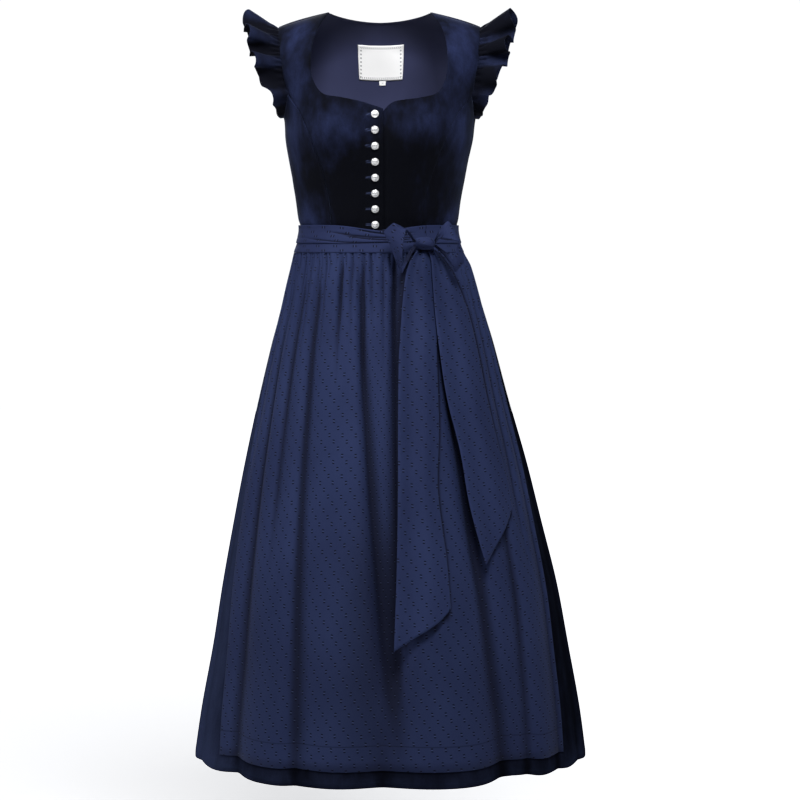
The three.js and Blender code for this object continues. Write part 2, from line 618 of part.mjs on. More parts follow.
function longFoldDepth(angle, z) {
  const drop = (BAND_BOTTOM - z) / (BAND_BOTTOM - SKIRT_HEM);
  let sum = 0;
  for (const fold of LONG_FOLDS) {
    const centre = lerp(fold.top, fold.hem, drop);
    const apart = ((angle - centre + 540) % 360) - 180;
    const wide = lerp(fold.wideTop, fold.wideHem, drop);
    const start = clamp((fold.from - z) / 70, 0, 1);
    const end = clamp((z - fold.to) / 150, 0, 1);
    const deep = lerp(fold.deepTop, fold.deepHem, drop) * start * end;
    sum += deep * Math.exp(-((apart / wide) ** 2));
  }
  return sum;
}

// The angle that a thread has reached at a height. Threads fan out from the band to the hem.
function threadAngle(thread, z) {
  const fan = clamp((BAND_BOTTOM - z) / (BAND_BOTTOM - SKIRT_HEM), 0, 1) ** 0.8;
  const i = Math.max(THREADS.findIndex((end) => end.top >= thread), 1);
  const [a, b] = [THREADS[i - 1], THREADS[i]];
  const hem = lerp(a.hem, b.hem, (thread - a.top) / (b.top - a.top));
  return lerp(thread, hem, fan);
}

function skirtPoint(thread, z, out) {
  const angle = threadAngle(thread, z);
  return pushedPoint(angle, z, out - gatherDepth(thread, z) - longFoldDepth(angle, z));
}

// The threads that a cloth's columns follow: its edges, each valley, and the steps between them.
function threadsBetween(from, to) {
  const inside = [...GATHERS.map((gather) => gather.at), APRON_LEFT, APRON_RIGHT]
    .filter((at) => at > from && at < to)
    .sort((a, b) => a - b);
  const stops = [...inside, to];
  const steps = Array.from({ length: STEPS_PER_GATHER }, (_, k) => (k + 1) / STEPS_PER_GATHER);
  return [from, ...stops.flatMap((stop, i) => steps.map((share) => lerp(stops[i - 1] ?? from, stop, share)))];
}

function gatheredWall(name, from, to, levels, out, thick, trim, finish) {
  const threads = threadsBetween(from, to);
  const last = threads.length - 1;
  const layer = (offset) =>
    makeGrid(levels.length - 1, last, (r, c) => {
      const point = skirtPoint(threads[c], levels[levels.length - 1 - r], offset);
      if (c === 0 || c === last) {
        const aside = new THREE.Vector3(-point.y, point.x, 0).normalize();
        point.addScaledVector(aside, c === 0 ? trim : -trim);
      }
      return point;
    });
  return wall(name, layer(out), layer(out - thick), finish);
}

// A band that lies round the waist.
const BAND_STEP = 5.4;
const BAND_ROWS = 2;
function bandGrid(from, to, levelsAt, out) {
  const columns = Math.round((to - from) / BAND_STEP);
  return makeGrid(BAND_ROWS, columns, (r, c) => {
    const angle = lerp(from, to, c / columns);
    return pushedPoint(angle, levelsAt(angle, r / BAND_ROWS), out);
  });
}

function band(name, from, to, levelsAt, out, thick, finish) {
  const outer = bandGrid(from, to, levelsAt, out + thick);
  return wall(name, outer, bandGrid(from, to, levelsAt, out), finish);
}

// The ribbon's front and back edges, spaced evenly, with the wall to their inside.
function loop(name, shape) {
  const edges = [shape.front, shape.back].map(
    (edge) => new THREE.CatmullRomCurve3(edge.map((point) => new THREE.Vector3(...point))),
  );
  const grid = makeGrid(2, LOOP_STEPS, (r, c) =>
    edges[0].getPointAt(c / LOOP_STEPS).lerp(edges[1].getPointAt(c / LOOP_STEPS), r / 2),
  );
  return wall(name, grid, offsetGrid(grid, -TIE_WALL), APRON);
}

// A tail hangs from the knot and lies over the apron's outermost folds.
function tail(name, shape) {
  const outerLayer = LAYER_GAP + APRON_WALL;
  const rows = shape.rows;
  const grid = (out) =>
    makeGrid(rows.length - 1, TAIL_COLUMNS, (r, c) => {
      const row = rows[rows.length - 1 - r];
      const share = c / TAIL_COLUMNS;
      const z = row.z + row.slant * (share - 0.5);
      const x = lerp(row.from, row.to, share);
      const crease = TAIL_CREASE * Math.cos(3 * Math.PI * share);
      return pointOver(x, z, outerLayer + shape.stand + crease + out);
    });
  return wall(name, grid(TIE_WALL), grid(0), APRON);
}

// The knot, seated on the wrap behind it.
function knot(name) {
  const rings = 8;
  const sides = 14;
  const centreY = formPoint(angleAt(KNOT.x, KNOT.z), KNOT.z).y - KNOT.stand;
  const seat = 2 * LAYER_GAP + BAND_WALL + TIE_WALL + LAYER_GAP;
  const points = [];
  const index = [];
  const place = (sideways, around) => {
    const girth = Math.sqrt(1 - sideways ** 2) ** 0.6;
    const x = KNOT.x + KNOT.wide * sideways;
    const z = KNOT.z + KNOT.tall * girth * Math.sin(around);
    const behind = pointOver(x, z, seat).y;
    return new THREE.Vector3(x, Math.min(centreY - KNOT.deep * girth * Math.cos(around), behind), z);
  };
  points.push(place(-1, 0));
  for (let r = 1; r < rings; r++) {
    for (let s = 0; s < sides; s++) {
      points.push(place(-Math.cos((Math.PI * r) / rings), (2 * Math.PI * s) / sides));
    }
  }
  points.push(place(1, 0));
  const at = (r, s) => 1 + (r - 1) * sides + (s % sides);
  for (let s = 0; s < sides; s++) {
    index.push(0, at(1, s), at(1, s + 1));
    for (let r = 1; r < rings - 1; r++) {
      index.push(at(r, s), at(r + 1, s), at(r + 1, s + 1), at(r, s), at(r + 1, s + 1), at(r, s + 1));
    }
    index.push(at(rings - 1, s), points.length - 1, at(rings - 1, s + 1));
  }
  return solid(name, points, index, APRON);
}

// The outermost point of a mesh at a place in the front view.
function frontPoint(mesh, x, z) {
  const ray = new THREE.Raycaster(new THREE.Vector3(x, -1000, z), new THREE.Vector3(0, 1, 0));
  return ray.intersectObject(mesh)[0].point;
}

// A domed button with a rolled rim, its back flat and just clear of the front that it closes.
function button(name, front, z) {
  const { radius, proud, x } = BUTTONS;
  const profile = [
    [0, 0],
    [radius * 0.9, 0],
    [radius, proud * 0.28],
    [radius * 0.84, proud * 0.6],
    [radius * 0.5, proud * 0.9],
    [0, proud],
  ].map(([r, h]) => new THREE.Vector2(r, h));
  const above = frontPoint(front, x, z + radius);
  const below = frontPoint(front, x, z - radius);
  const face = new THREE.Vector3(0, below.z - above.z, above.y - below.y).normalize();
  const centre = above.clone().lerp(below, 0.5);
  let reach = 0;
  for (let i = 0; i < 8; i++) {
    const turn = (i * Math.PI) / 4;
    const rim = frontPoint(front, x + radius * Math.sin(turn), z + radius * Math.cos(turn));
    reach = Math.max(reach, rim.sub(centre).dot(face));
  }
  const mesh = new THREE.Mesh(new THREE.LatheGeometry(profile, 10), new THREE.MeshStandardMaterial(SILVER));
  mesh.name = name;
  mesh.quaternion.setFromUnitVectors(new THREE.Vector3(0, 1, 0), face);
  mesh.position.copy(centre).addScaledVector(face, reach + SEAM_GAP);
  return mesh;
}

// The label lies inside the centre back, moved in from the back's own inner points.
const LABEL_GAP = 0.5;
function innerPatch(name, grid, patch) {
  const layer = (depth) => {
    const inside = offsetGrid(grid, -BODICE_WALL - LABEL_GAP - depth);
    return makeGrid(patch.rows.length - 1, patch.columns.length - 1, (r, c) =>
      between(inside, patch.rows[r], patch.columns[c]),
    );
  };
  return wall(name, layer(0), layer(patch.wall), WHITE);
}

const dress = new THREE.Group();
const turned = (grid) => grid.map((row) => [...row].reverse());

// Bodice
const back = backGrid();
for (const [key, side] of [["left", -1], ["right", 1]]) {
  const front = frontGrid(side);
  const sideFront = sideGrid(side, false);
  const sideBack = sideGrid(side, true);
  dress.add(panel(`front_${key}`, front, FRONT));
  dress.add(panel(`side_front_${key}`, side < 0 ? turned(sideFront) : sideFront, FRONT));
  dress.add(panel(`side_back_${key}`, side > 0 ? turned(sideBack) : sideBack, BACK));
  dress.add(ruffle(`ruffle_${key}`, side, front, sideFront, sideBack, back));
}
dress.add(panel("centre_back", turned(back), BACK));
dress.add(innerPatch("label", turned(back), LABEL));
dress.add(innerPatch("label_tab", turned(back), LABEL_TAB));
for (let i = 0; i < BUTTONS.count; i++) {
  dress.add(button(`button_${i + 1}`, dress.getObjectByName("front_left"), BUTTONS.top - i * BUTTONS.pitch));
}

// Skirt and apron
const apronLevels = SKIRT_LEVELS.filter((z) => z < BAND_BOTTOM && z >= APRON_HEM);
const seamTrim = SEAM_GAP / 2;
dress.add(gatheredWall("skirt_front", SEAM_LEFT, SEAM_RIGHT, SKIRT_LEVELS, 0, SKIRT_WALL, seamTrim, VELVET));
dress.add(gatheredWall("skirt_back", SEAM_RIGHT, SEAM_ROUND, SKIRT_LEVELS, 0, SKIRT_WALL, seamTrim, VELVET));
const apronOut = LAYER_GAP + APRON_WALL;
dress.add(gatheredWall("apron_panel", APRON_LEFT, APRON_RIGHT, apronLevels, apronOut, APRON_WALL, 0, APRON));

// Waistband and ties
const straight = (bottom, top) => (angle, share) => lerp(bottom, top, share);
const dipped = (angle, share) => {
  const apart = (((angle - WRAP.dipAngle + 540) % 360) - 180) / WRAP.dipWide;
  return lerp(WRAP.bottom, WRAP.top - WRAP.dip * Math.exp(-apart * apart), share);
};
const bandOut = LAYER_GAP;
const wrapOut = LAYER_GAP + BAND_WALL + LAYER_GAP;
const bandLevels = straight(BAND_BOTTOM, BAND_TOP);
const backLevels = straight(TIE_BACK.bottom, TIE_BACK.top);
dress.add(band("apron_waistband", -BAND_END, BAND_END, bandLevels, bandOut, BAND_WALL, APRON));
dress.add(band("tie_back", TIE_BACK.from, TIE_BACK.to, backLevels, bandOut, TIE_WALL, APRON));
dress.add(band("tie_wrap", WRAP.from, WRAP.to, dipped, wrapOut, TIE_WALL, APRON));
dress.add(knot("bow_knot"));
for (const key of ["left", "right"]) {
  dress.add(loop(`bow_loop_${key}`, LOOPS[key]));
  dress.add(tail(`bow_tail_${key}`, TAILS[key]));
}

export default dress;
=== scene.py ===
import math
import bpy
import numpy as np
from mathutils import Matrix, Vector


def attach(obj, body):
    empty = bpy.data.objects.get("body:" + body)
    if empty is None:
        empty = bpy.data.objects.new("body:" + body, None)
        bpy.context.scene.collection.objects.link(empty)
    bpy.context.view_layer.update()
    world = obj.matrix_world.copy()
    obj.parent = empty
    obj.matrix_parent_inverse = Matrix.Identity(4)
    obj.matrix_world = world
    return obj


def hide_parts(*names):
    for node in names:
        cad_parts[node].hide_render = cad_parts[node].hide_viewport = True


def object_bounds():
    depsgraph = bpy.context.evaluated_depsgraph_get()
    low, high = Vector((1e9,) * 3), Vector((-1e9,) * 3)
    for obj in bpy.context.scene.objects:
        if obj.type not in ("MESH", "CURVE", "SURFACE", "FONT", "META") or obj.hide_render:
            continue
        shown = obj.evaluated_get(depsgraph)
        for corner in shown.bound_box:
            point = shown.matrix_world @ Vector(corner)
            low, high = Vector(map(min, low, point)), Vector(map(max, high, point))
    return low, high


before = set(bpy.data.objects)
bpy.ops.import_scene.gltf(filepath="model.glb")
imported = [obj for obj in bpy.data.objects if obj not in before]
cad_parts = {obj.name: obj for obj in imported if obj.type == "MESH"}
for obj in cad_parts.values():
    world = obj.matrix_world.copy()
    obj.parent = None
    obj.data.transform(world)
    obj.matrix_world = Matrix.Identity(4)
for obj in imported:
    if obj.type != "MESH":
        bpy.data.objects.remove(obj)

cad_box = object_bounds()
MM = 0.001
EYE = (0.032, -3.9, -0.36)
TILT_DOWN = 3.7526
LENS = 109.9
FLOOR_DROP = 0.3
ROOM = (0.97, 0.98, 1)
ROOM_LIGHT, ROOM_SEEN = 0.16, 1.05


def add_camera():
    """A camera at EYE that looks along +Y, turned down by TILT_DOWN."""
    data = bpy.data.cameras.new("camera")
    data.lens = LENS
    data.sensor_width = 36
    camera = bpy.data.objects.new("camera", data)
    camera.location = EYE
    camera.rotation_euler = (math.radians(90 - TILT_DOWN), 0, 0)
    bpy.context.collection.objects.link(camera)
    bpy.context.scene.camera = camera


def add_soft_box(name, place, aim, size, watts, colour=(1, 1, 1)):
    """A square area light at a place, facing a point."""
    data = bpy.data.lights.new(name, "AREA")
    data.shape = "SQUARE"
    data.size = size
    data.energy = watts
    data.color = colour
    light = bpy.data.objects.new(name, data)
    light.location = place
    away = np.array(place) - np.array(aim)
    flat = math.hypot(away[0], away[1])
    light.rotation_euler = (math.atan2(flat, away[2]), 0, math.atan2(away[0], -away[1]))
    bpy.context.collection.objects.link(light)


add_camera()
add_soft_box("front box", (0.3, -1.6, 1.5), (0, 0, -0.1), 0.8, 74)
add_soft_box("right box", (2.3, -0.9, 1.2), (0, 0, -0.3), 1.2, 8)
add_soft_box("left box", (-2.0, -1.0, 1.6), (0, 0, -0.2), 1.0, 60)
add_soft_box("back box", (-0.5, 2.8, 1.0), (0, 0, -0.5), 1.6, 75)
room = bpy.data.worlds.new("room")
bpy.context.scene.world = room
room.use_nodes = True
walls = room.node_tree.nodes["Background"]
walls.inputs["Color"].default_value = (*ROOM, 1)
seen = room.node_tree.nodes.new("ShaderNodeLightPath")
brightness = room.node_tree.nodes.new("ShaderNodeMapRange")
brightness.inputs["To Min"].default_value = ROOM_LIGHT
brightness.inputs["To Max"].default_value = ROOM_SEEN
room.node_tree.links.new(seen.outputs["Is Camera Ray"], brightness.inputs["Value"])
room.node_tree.links.new(brightness.outputs["Result"], walls.inputs["Strength"])
bpy.context.scene.view_settings.view_transform = "Standard"

floor_mesh = bpy.data.meshes.new("floor")
FLOOR_HALF = 12
floor_z = cad_box[0][2] - FLOOR_DROP
floor_mesh.from_pydata(
    [(x, y, floor_z) for x, y in ((-FLOOR_HALF, -FLOOR_HALF), (FLOOR_HALF, -FLOOR_HALF),
                                  (FLOOR_HALF, FLOOR_HALF), (-FLOOR_HALF, FLOOR_HALF))],
    [], [(0, 1, 2, 3)])
floor = bpy.data.objects.new("floor", floor_mesh)
bpy.context.collection.objects.link(floor)
floor_finish = bpy.data.materials.new("floor paint")
floor_finish.use_nodes = True
floor_finish.node_tree.nodes["Principled BSDF"].inputs["Base Color"].default_value = (0.9, 0.9, 0.9, 1)
floor_finish.node_tree.nodes["Principled BSDF"].inputs["Roughness"].default_value = 0.9
floor_mesh.materials.append(floor_finish)
floor.is_shadow_catcher = True


# Bodice: seven velvet panels, lined, with princess seams in front and curved seams behind.
# The left front laps over the right one. Each panel is a ruled grid on the dress's form, which is
# an oval section at each height that closes over the shoulders, with two cups in front.
def table(columns, *rows):
    """A table's columns by name."""
    return {name: np.array(values, float) for name, values in zip(columns.split(), zip(*rows))}


def along(rows, name, place):
    """A column's value at a place in the first column: Hermite curves with the neighbours' slopes."""
    keys, values = next(iter(rows.values())), rows[name]
    if keys[1] < keys[0]:
        keys, values = keys[::-1], values[::-1]
    slopes = np.empty_like(values)
    slopes[1:-1] = (values[2:] - values[:-2]) / (keys[2:] - keys[:-2])
    slopes[0] = (values[1] - values[0]) / (keys[1] - keys[0])
    slopes[-1] = (values[-1] - values[-2]) / (keys[-1] - keys[-2])
    place = np.clip(place, keys[0], keys[-1])
    i = np.clip(np.searchsorted(keys, place, "right") - 1, 0, len(keys) - 2)
    step = keys[i + 1] - keys[i]
    t = (place - keys[i]) / step
    return ((2 * t**3 - 3 * t**2 + 1) * values[i] + (t**3 - 2 * t**2 + t) * slopes[i] * step
            + (3 * t**2 - 2 * t**3) * values[i + 1] + (t**3 - t**2) * slopes[i + 1] * step)


SECTIONS = table(
    "z left right front back square",
    (40, 180, 180, 84, 80, 2.4), (0, 182, 182, 88, 84, 2.4), (-30, 182, 182, 93, 90, 2.4),
    (-64, 179, 179, 100, 96, 2.4), (-100, 170, 170, 109, 101, 2.4), (-134, 159, 160, 118, 102, 2.4),
    (-170, 151, 151, 125, 99, 2.4), (-202, 149, 147, 125, 95, 2.4), (-233, 144, 140, 119, 90, 2.3),
    (-265, 138, 134, 111, 86, 2.3), (-297, 133, 128, 104, 82, 2.2), (-327, 129, 124, 98, 80, 2.2),
    (-341, 125, 121, 95, 79, 2.2), (-360, 128, 124, 98, 83, 2.2), (-380, 135, 132, 104, 91, 2.15),
    (-400, 140, 143, 112, 100, 2.1), (-430, 149, 154, 123, 111, 2.1), (-470, 160, 167, 136, 124, 2.05),
    (-520, 173, 182, 154, 142, 2.05), (-616, 196, 208, 184, 172, 2), (-712, 217, 236, 213, 197, 2),
    (-809, 236, 261, 240, 221, 2), (-906, 254, 286, 266, 243, 2), (-1003, 270, 305, 287, 262, 2),
    (-1101, 289, 324, 305, 278, 2), (-1190, 303, 337, 318, 290, 2),
)
NECK_POINT_X, SHOULDER_X, SHOULDER_DROP, SHOULDER_ROUND, NECK_RISE = 80, 161, 24, 78, 0.35
CUP_X, CUP_Z, CUP_WIDE, CUP_TALL, CUP_PROUD = 74, -192, 44, 46, 9
WAIST_SEAM, UNDERARM, ARMHOLE_SCOOP, BACK_NECK_DROP = -360, -170, 9, 10
LAP_EDGE, LAP_STEP, LAP_SLOPE_END = 6, 2.7, 12
SEAM_HALF = 0.03
FRONT_ROWS = table(
    "row outer leftX leftZ rightX rightZ",
    (0, -360, 6, -360, -14, -360), (1, -346, 6, -346, -14, -346), (2, -322, 6, -320, -14, -320),
    (3, -294, 6, -290, -14, -290), (4, -265, 6, -258, -14, -258), (5, -237, 6, -225, -14, -225),
    (6, -210, 6, -191, -14, -191), (7, -186, 6, -158, 7.4, -160), (8, -168, -28, -147, 24, -147),
    (9, -151, -60, -140, 62, -141), (10, -134, -89, -133, 91, -132), (11, -110, -105, -107, 104, -106),
    (12, -86, -107, -77, 106, -79), (13, -62, -103, -49, 104, -49), (14, -45, -95, -27, 97, -26),
    (15, -33, -87, -11, 88, -11), (16, -26.5, -82, -3, 82, -3), (17, -24, -80, 0, 80, 0),
)
NECKLINE_ROW, SEAM_ROWS, LAST_ROW = 7, 10, 17
FRONT_SEAM = table(
    "z left right",
    (-360, 75, 66), (-338, 76, 66), (-300, 79, 70), (-255, 89, 84), (-211, 104, 101), (-167, 122, 121),
    (-134, 142, 145), (-110, 150, 151), (-86, 154, 155), (-62, 157, 157), (-24, 161, 161),
)
BACK_SEAM = table(
    "z half",
    (-360, 54), (-330, 57), (-280, 66), (-230, 82), (-180, 104), (-140, 129), (-112, 147), (-88, 153),
    (-62, 157), (-24, 161),
)
BACK_ROWS = table("row z", *enumerate(
    (-360, -346, -322, -294, -265, -237, -210, -184, -159, -135, -112, -88, -66, -50, -40, -32.5,
     -26.5, -24)))


def angle_at(x, z):
    """The angle from the front at which the section at z reaches x."""
    half = np.where(x < 0, along(SECTIONS, "left", z), along(SECTIONS, "right", z))
    share = np.clip(np.abs(x) / half, 0, 1)
    return np.sign(x) * np.degrees(np.arcsin(share ** (along(SECTIONS, "square", z) / 2)))


def shoulder_height(x):
    """The shoulder seam falls from the neck point out, and the neck rises from it inwards."""
    beyond = np.abs(x) - NECK_POINT_X
    return np.where(beyond > 0, -SHOULDER_DROP * beyond / (SHOULDER_X - NECK_POINT_X), -beyond * NECK_RISE)


def form_point(angle, z):
    """Superellipse section: half width times sin^(2/n) and depth times cos^(2/n), the depth closed by a
    quarter round under the shoulder, less two bell-shaped cups."""
    sine, cosine = np.sin(np.radians(angle)), np.cos(np.radians(angle))
    angle, z = np.broadcast_arrays(angle, z)
    power = 2 / along(SECTIONS, "square", z)
    half = np.where(sine < 0, along(SECTIONS, "left", z), along(SECTIONS, "right", z))
    x = np.sign(sine) * half * np.abs(sine) ** power
    depth = np.where(cosine > 0, along(SECTIONS, "front", z), along(SECTIONS, "back", z))
    below = np.clip((shoulder_height(x) - z) / SHOULDER_ROUND, 0, 1)
    closing = np.where(z < -200, 1, np.sqrt(1 - (1 - below) ** 2))
    cups = CUP_PROUD * np.exp(-((np.abs(x) - CUP_X) / CUP_WIDE) ** 2 - ((z - CUP_Z) / CUP_TALL) ** 2)
    y = -np.sign(cosine) * depth * np.abs(cosine) ** power * closing - np.where(cosine > 0, cups, 0)
    return np.stack([x, y, z + 0.0 * x], axis=-1)


def normals_of(points):
    """Unit normals of a grid: the cross product of its two directions."""
    across = np.gradient(points, axis=1)
    up = np.gradient(points, axis=0)
    normal = np.cross(across, up)
    return normal / np.maximum(np.linalg.norm(normal, axis=-1, keepdims=True), 1e-9)


def lengths(points, axis):
    """Arc length along a grid direction, from its start."""
    steps = np.linalg.norm(np.diff(points, axis=axis), axis=-1)
    pad = [(0, 0), (0, 0)]
    pad[axis] = (1, 0)
    return np.cumsum(np.pad(steps, pad), axis=axis)


def roll_edges(points, sides="lrbt", depth=1.0, wide=2.0):
    """Turns the named edges in: a bell-shaped step down, wide in arc length, along the normal."""
    across, up = lengths(points, 1), lengths(points, 0)
    reach = {"l": across, "r": across[:, -1:] - across, "b": up, "t": up[-1:] - up}
    sink = sum(np.exp(-(reach[side] / wide) ** 2) for side in sides)
    return points - normals_of(points) * (depth * np.clip(sink, 0, 1))[..., None]


def crease(points, creases, bend=0.08):
    """Soft troughs: each runs from one point to another in the view plane, bent aside by a share of its
    length, bell-shaped across it and fading at both ends."""
    x, z = points[..., 0], points[..., 2]
    sink = np.zeros(x.shape)
    for x0, z0, x1, z1, wide, deep in creases:
        run = np.hypot(x1 - x0, z1 - z0)
        t = ((x - x0) * (x1 - x0) + (z - z0) * (z1 - z0)) / run**2
        bow = bend * run * np.sin(np.pi * np.clip(t, 0, 1))
        off = ((x - x0) * (z1 - z0) - (z - z0) * (x1 - x0)) / run - bow
        ends = np.clip(np.minimum(t, 1 - t) * 4 + 0.5, 0, 1)
        sink += deep * np.exp(-(off / wide) ** 2) * ends
    return points - normals_of(points) * sink[..., None]


def even(count, crowd=0.0):
    """Count + 1 shares from 0 to 1, closer together near both ends as crowd goes to 1."""
    t = np.linspace(0, 1, count + 1)
    return (1 - crowd) * t + crowd * (0.5 - 0.5 * np.cos(np.pi * t))


def cloth(name, points, finish, nodes, wall=0.0, inside=None, flip=False, lays=None, fields=None):
    """A cloth from a grid of points in millimetres, thickened inwards by Solidify. lays is the place on
    the flat cloth of each point, in metres, and fields are named values for the material."""
    rows, columns = points.shape[:2]
    index = np.arange(rows * columns).reshape(rows, columns)
    corners = [index[:-1, :-1], index[:-1, 1:], index[1:, 1:], index[1:, :-1]]
    faces = np.stack(corners[::-1] if flip else corners, axis=-1).reshape(-1, 4)
    mesh = bpy.data.meshes.new(name)
    mesh.from_pydata((points.reshape(-1, 3) * MM).tolist(), [], faces.tolist())
    mesh.polygons.foreach_set("use_smooth", np.ones(len(faces), bool))
    if lays is None:
        across, up = lengths(points, 1) * MM, lengths(points, 0) * MM
        lays = np.stack([across - across[:, -1:] / 2, up - up[-1:]], axis=-1)
    mesh.uv_layers.new(name="lay").data.foreach_set("uv", lays.reshape(-1, 2)[faces.ravel()].ravel())
    for field, values in (fields or {}).items():
        mesh.attributes.new(field, "FLOAT", "POINT").data.foreach_set("value", values.ravel())
    mesh.materials.append(finish)
    if inside:
        mesh.materials.append(inside)
    piece = bpy.data.objects.new(name, mesh)
    bpy.context.collection.objects.link(piece)
    if wall:
        solidify = piece.modifiers.new("wall", "SOLIDIFY")
        solidify.thickness = wall * MM
        solidify.offset = -1
        solidify.material_offset = 1 if inside else 0
    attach(piece, "root")
    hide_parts(*nodes)
    return piece


LEAST_CUT, LEAST_SHARE = 0.0101, 0.31


def declare(points, cut_width=None):
    """Works out the cut of a cloth, the longest arcs of its grid and its area where it is shaped, but keeps
    none of it. A cut shorter than LEAST_CUT, which is the label's tab, runs on by what is sewn in under its
    neighbour."""
    width = cut_width or lengths(points, 1).max() * MM
    height = max(lengths(points, 0).max() * MM, LEAST_CUT)
    across, up = np.diff(points, axis=1)[:-1], np.diff(points, axis=0)[:, :-1]
    area = float(np.linalg.norm(np.cross(across, up), axis=-1).sum()) * MM * MM
    area = min(max(area, LEAST_SHARE * width * height), width * height)


class Wire:
    """A value that runs between shader nodes. + - * / and abs on it add Math nodes."""

    def __init__(self, shader, socket):
        self.shader = shader
        self.socket = socket

    def maths(self, operation, *values):
        return self.shader.node("ShaderNodeMath", {"operation": operation}, *values)

    def __add__(self, other):
        return self.maths("ADD", self, other)

    def __sub__(self, other):
        return self.maths("SUBTRACT", self, other)

    def __rsub__(self, other):
        return self.maths("SUBTRACT", other, self)

    def __mul__(self, other):
        return self.maths("MULTIPLY", self, other)

    def __truediv__(self, other):
        return self.maths("DIVIDE", self, other)

    def __abs__(self):
        return self.maths("ABSOLUTE", self)

    def floor(self):
        return self.maths("FLOOR", self)

    def wrap(self):
        """The fraction, less a half: from -0.5 to 0.5."""
        return self.maths("FRACT", self) - 0.5

    def step(self, low, high):
        """A smooth step: 0 below low and 1 above high."""
        ramp = {"interpolation_type": "SMOOTHSTEP"}
        return self.shader.node("ShaderNodeMapRange", ramp, self, low, high, 0.0, 1.0)


class Shader:
    """A material's nodes."""

    def __init__(self, name, **settings):
        self.material = bpy.data.materials.new(name)
        self.material.use_nodes = True
        self.tree = self.material.node_tree
        self.surface = self.tree.nodes["Principled BSDF"]
        for socket, value in settings.items():
            self.surface.inputs[socket.replace("_", " ")].default_value = value

    def node(self, kind, settings, *values, output=0, **named):
        """One node: its settings, the values or wires of its first sockets, and of named sockets."""
        made = self.tree.nodes.new(kind)
        for key, value in settings.items():
            setattr(made, key, value)
        for socket, value in [*enumerate(values), *named.items()]:
            target = made.inputs[socket.replace("_", " ") if isinstance(socket, str) else socket]
            if isinstance(value, Wire):
                self.tree.links.new(value.socket, target)
            else:
                target.default_value = value
        return Wire(self, made.outputs[output])

    def feed(self, **wires):
        """Runs wires into the surface's sockets."""
        for socket, wire in wires.items():
            self.tree.links.new(wire.socket, self.surface.inputs[socket.replace("_", " ")])
        return self.material

    def place(self):
        """The point on the object, in metres."""
        return self.node("ShaderNodeTexCoord", {}, output=3)

    def lay(self):
        """The place on the flat cloth, across and along, in metres."""
        flat = self.node("ShaderNodeUVMap", {"uv_map": "lay"})
        split = self.node("ShaderNodeSeparateXYZ", {}, flat)
        return split, Wire(self, split.socket.node.outputs[1])

    def field(self, name):
        """A named value of the mesh."""
        return self.node("ShaderNodeAttribute", {"attribute_name": name}, output=2)

    def noise(self, size, detail=2.0, roughness=0.5, stretch=(1, 1, 1)):
        """Noise from 0 to 1 with features of a size in metres, drawn out along an axis by stretch."""
        mapped = self.node("ShaderNodeMapping", {}, self.place(), Scale=stretch)
        grain = {"Scale": 1 / size, "Detail": detail, "Roughness": roughness}
        return self.node("ShaderNodeTexNoise", {}, mapped, **grain)

    def mix(self, share, first, second):
        """One colour to another."""
        made = self.tree.nodes.new("ShaderNodeMix")
        made.data_type = "RGBA"
        for socket, value in ((0, share), (6, first), (7, second)):
            if isinstance(value, Wire):
                self.tree.links.new(value.socket, made.inputs[socket])
            elif socket == 0:
                made.inputs[socket].default_value = value
            else:
                made.inputs[socket].default_value = (*value, 1)
        return Wire(self, made.outputs[2])

    def bump(self, height, distance, strength=1.0):
        """A normal from a height of 0 to 1 that stands for a distance in metres."""
        return self.node("ShaderNodeBump", {}, Strength=strength, Distance=distance, Height=height)


def srgb(red, green, blue):
    """A screen colour of 0 to 255 as the linear numbers that the shader takes."""
    values = np.array([red, green, blue]) / 255
    return tuple(np.where(values <= 0.04045, values / 12.92, ((values + 0.055) / 1.055) ** 2.4))


def velvet(name, dark, light, sheen=0.05, uneven_share=1.0, gloss=0.05):
    """Crushed cotton velvet: nearly black where the pile points at you, blue where it lies over, in
    patches of 30 to 90 mm, with a fine broken pile. Placed patches of painted light and painted shade
    are laid over the pile's own patches, and the hollows of the folds are darkened as painted shade."""
    shader = Shader(name, Roughness=0.9, Sheen_Weight=sheen, Sheen_Roughness=0.4,
                    Sheen_Tint=(0.35, 0.45, 0.8, 1), Specular_IOR_Level=gloss)
    patches = shader.noise(0.07, 3.0, 0.6, (1, 1, 0.7))
    pile = shader.noise(0.0022, 2.0, 0.7)
    crush = shader.noise(0.016, 3.0, 0.65, (1, 1, 0.45))
    uneven = (patches - 0.5) * 1.1 + (crush - 0.5) * 0.8
    # Dark to light by the pile's lie with painted light on top, less painted shade in the fold hollows.
    nap_and_light = shader.field("nap_and_light") + uneven * uneven_share - shader.field("painted_shade") * 0.6
    colour = shader.mix(nap_and_light.step(-0.1, 1.2), dark, light)
    colour = shader.mix(pile.step(0.35, 0.9) * 0.4, colour, dark)
    colour = shader.mix(shader.field("stitch") * 0.8, colour, srgb(58, 66, 96))
    height = crush * 0.5 + pile * 0.5
    return shader.feed(Base_Color=colour, Normal=shader.bump(height, 0.0007, 0.6))


VELVET_DARK = srgb(5, 6, 12)
VELVET_LIGHT = srgb(36, 44, 78)
bodice_velvet = velvet("bodice velvet", VELVET_DARK, VELVET_LIGHT)


def lining_finish():
    """Plain navy cotton lining, faintly mottled."""
    shader = Shader("lining", Roughness=0.8, Sheen_Weight=0.1, Specular_IOR_Level=0.2)
    weave = shader.noise(0.0012, 1.0)
    colour = shader.mix(shader.noise(0.06), srgb(38, 42, 70), srgb(50, 54, 86))
    return shader.feed(Base_Color=colour, Normal=shader.bump(weave, 0.0002, 0.5))


lining = lining_finish()
VELVET_WALL = 1.8
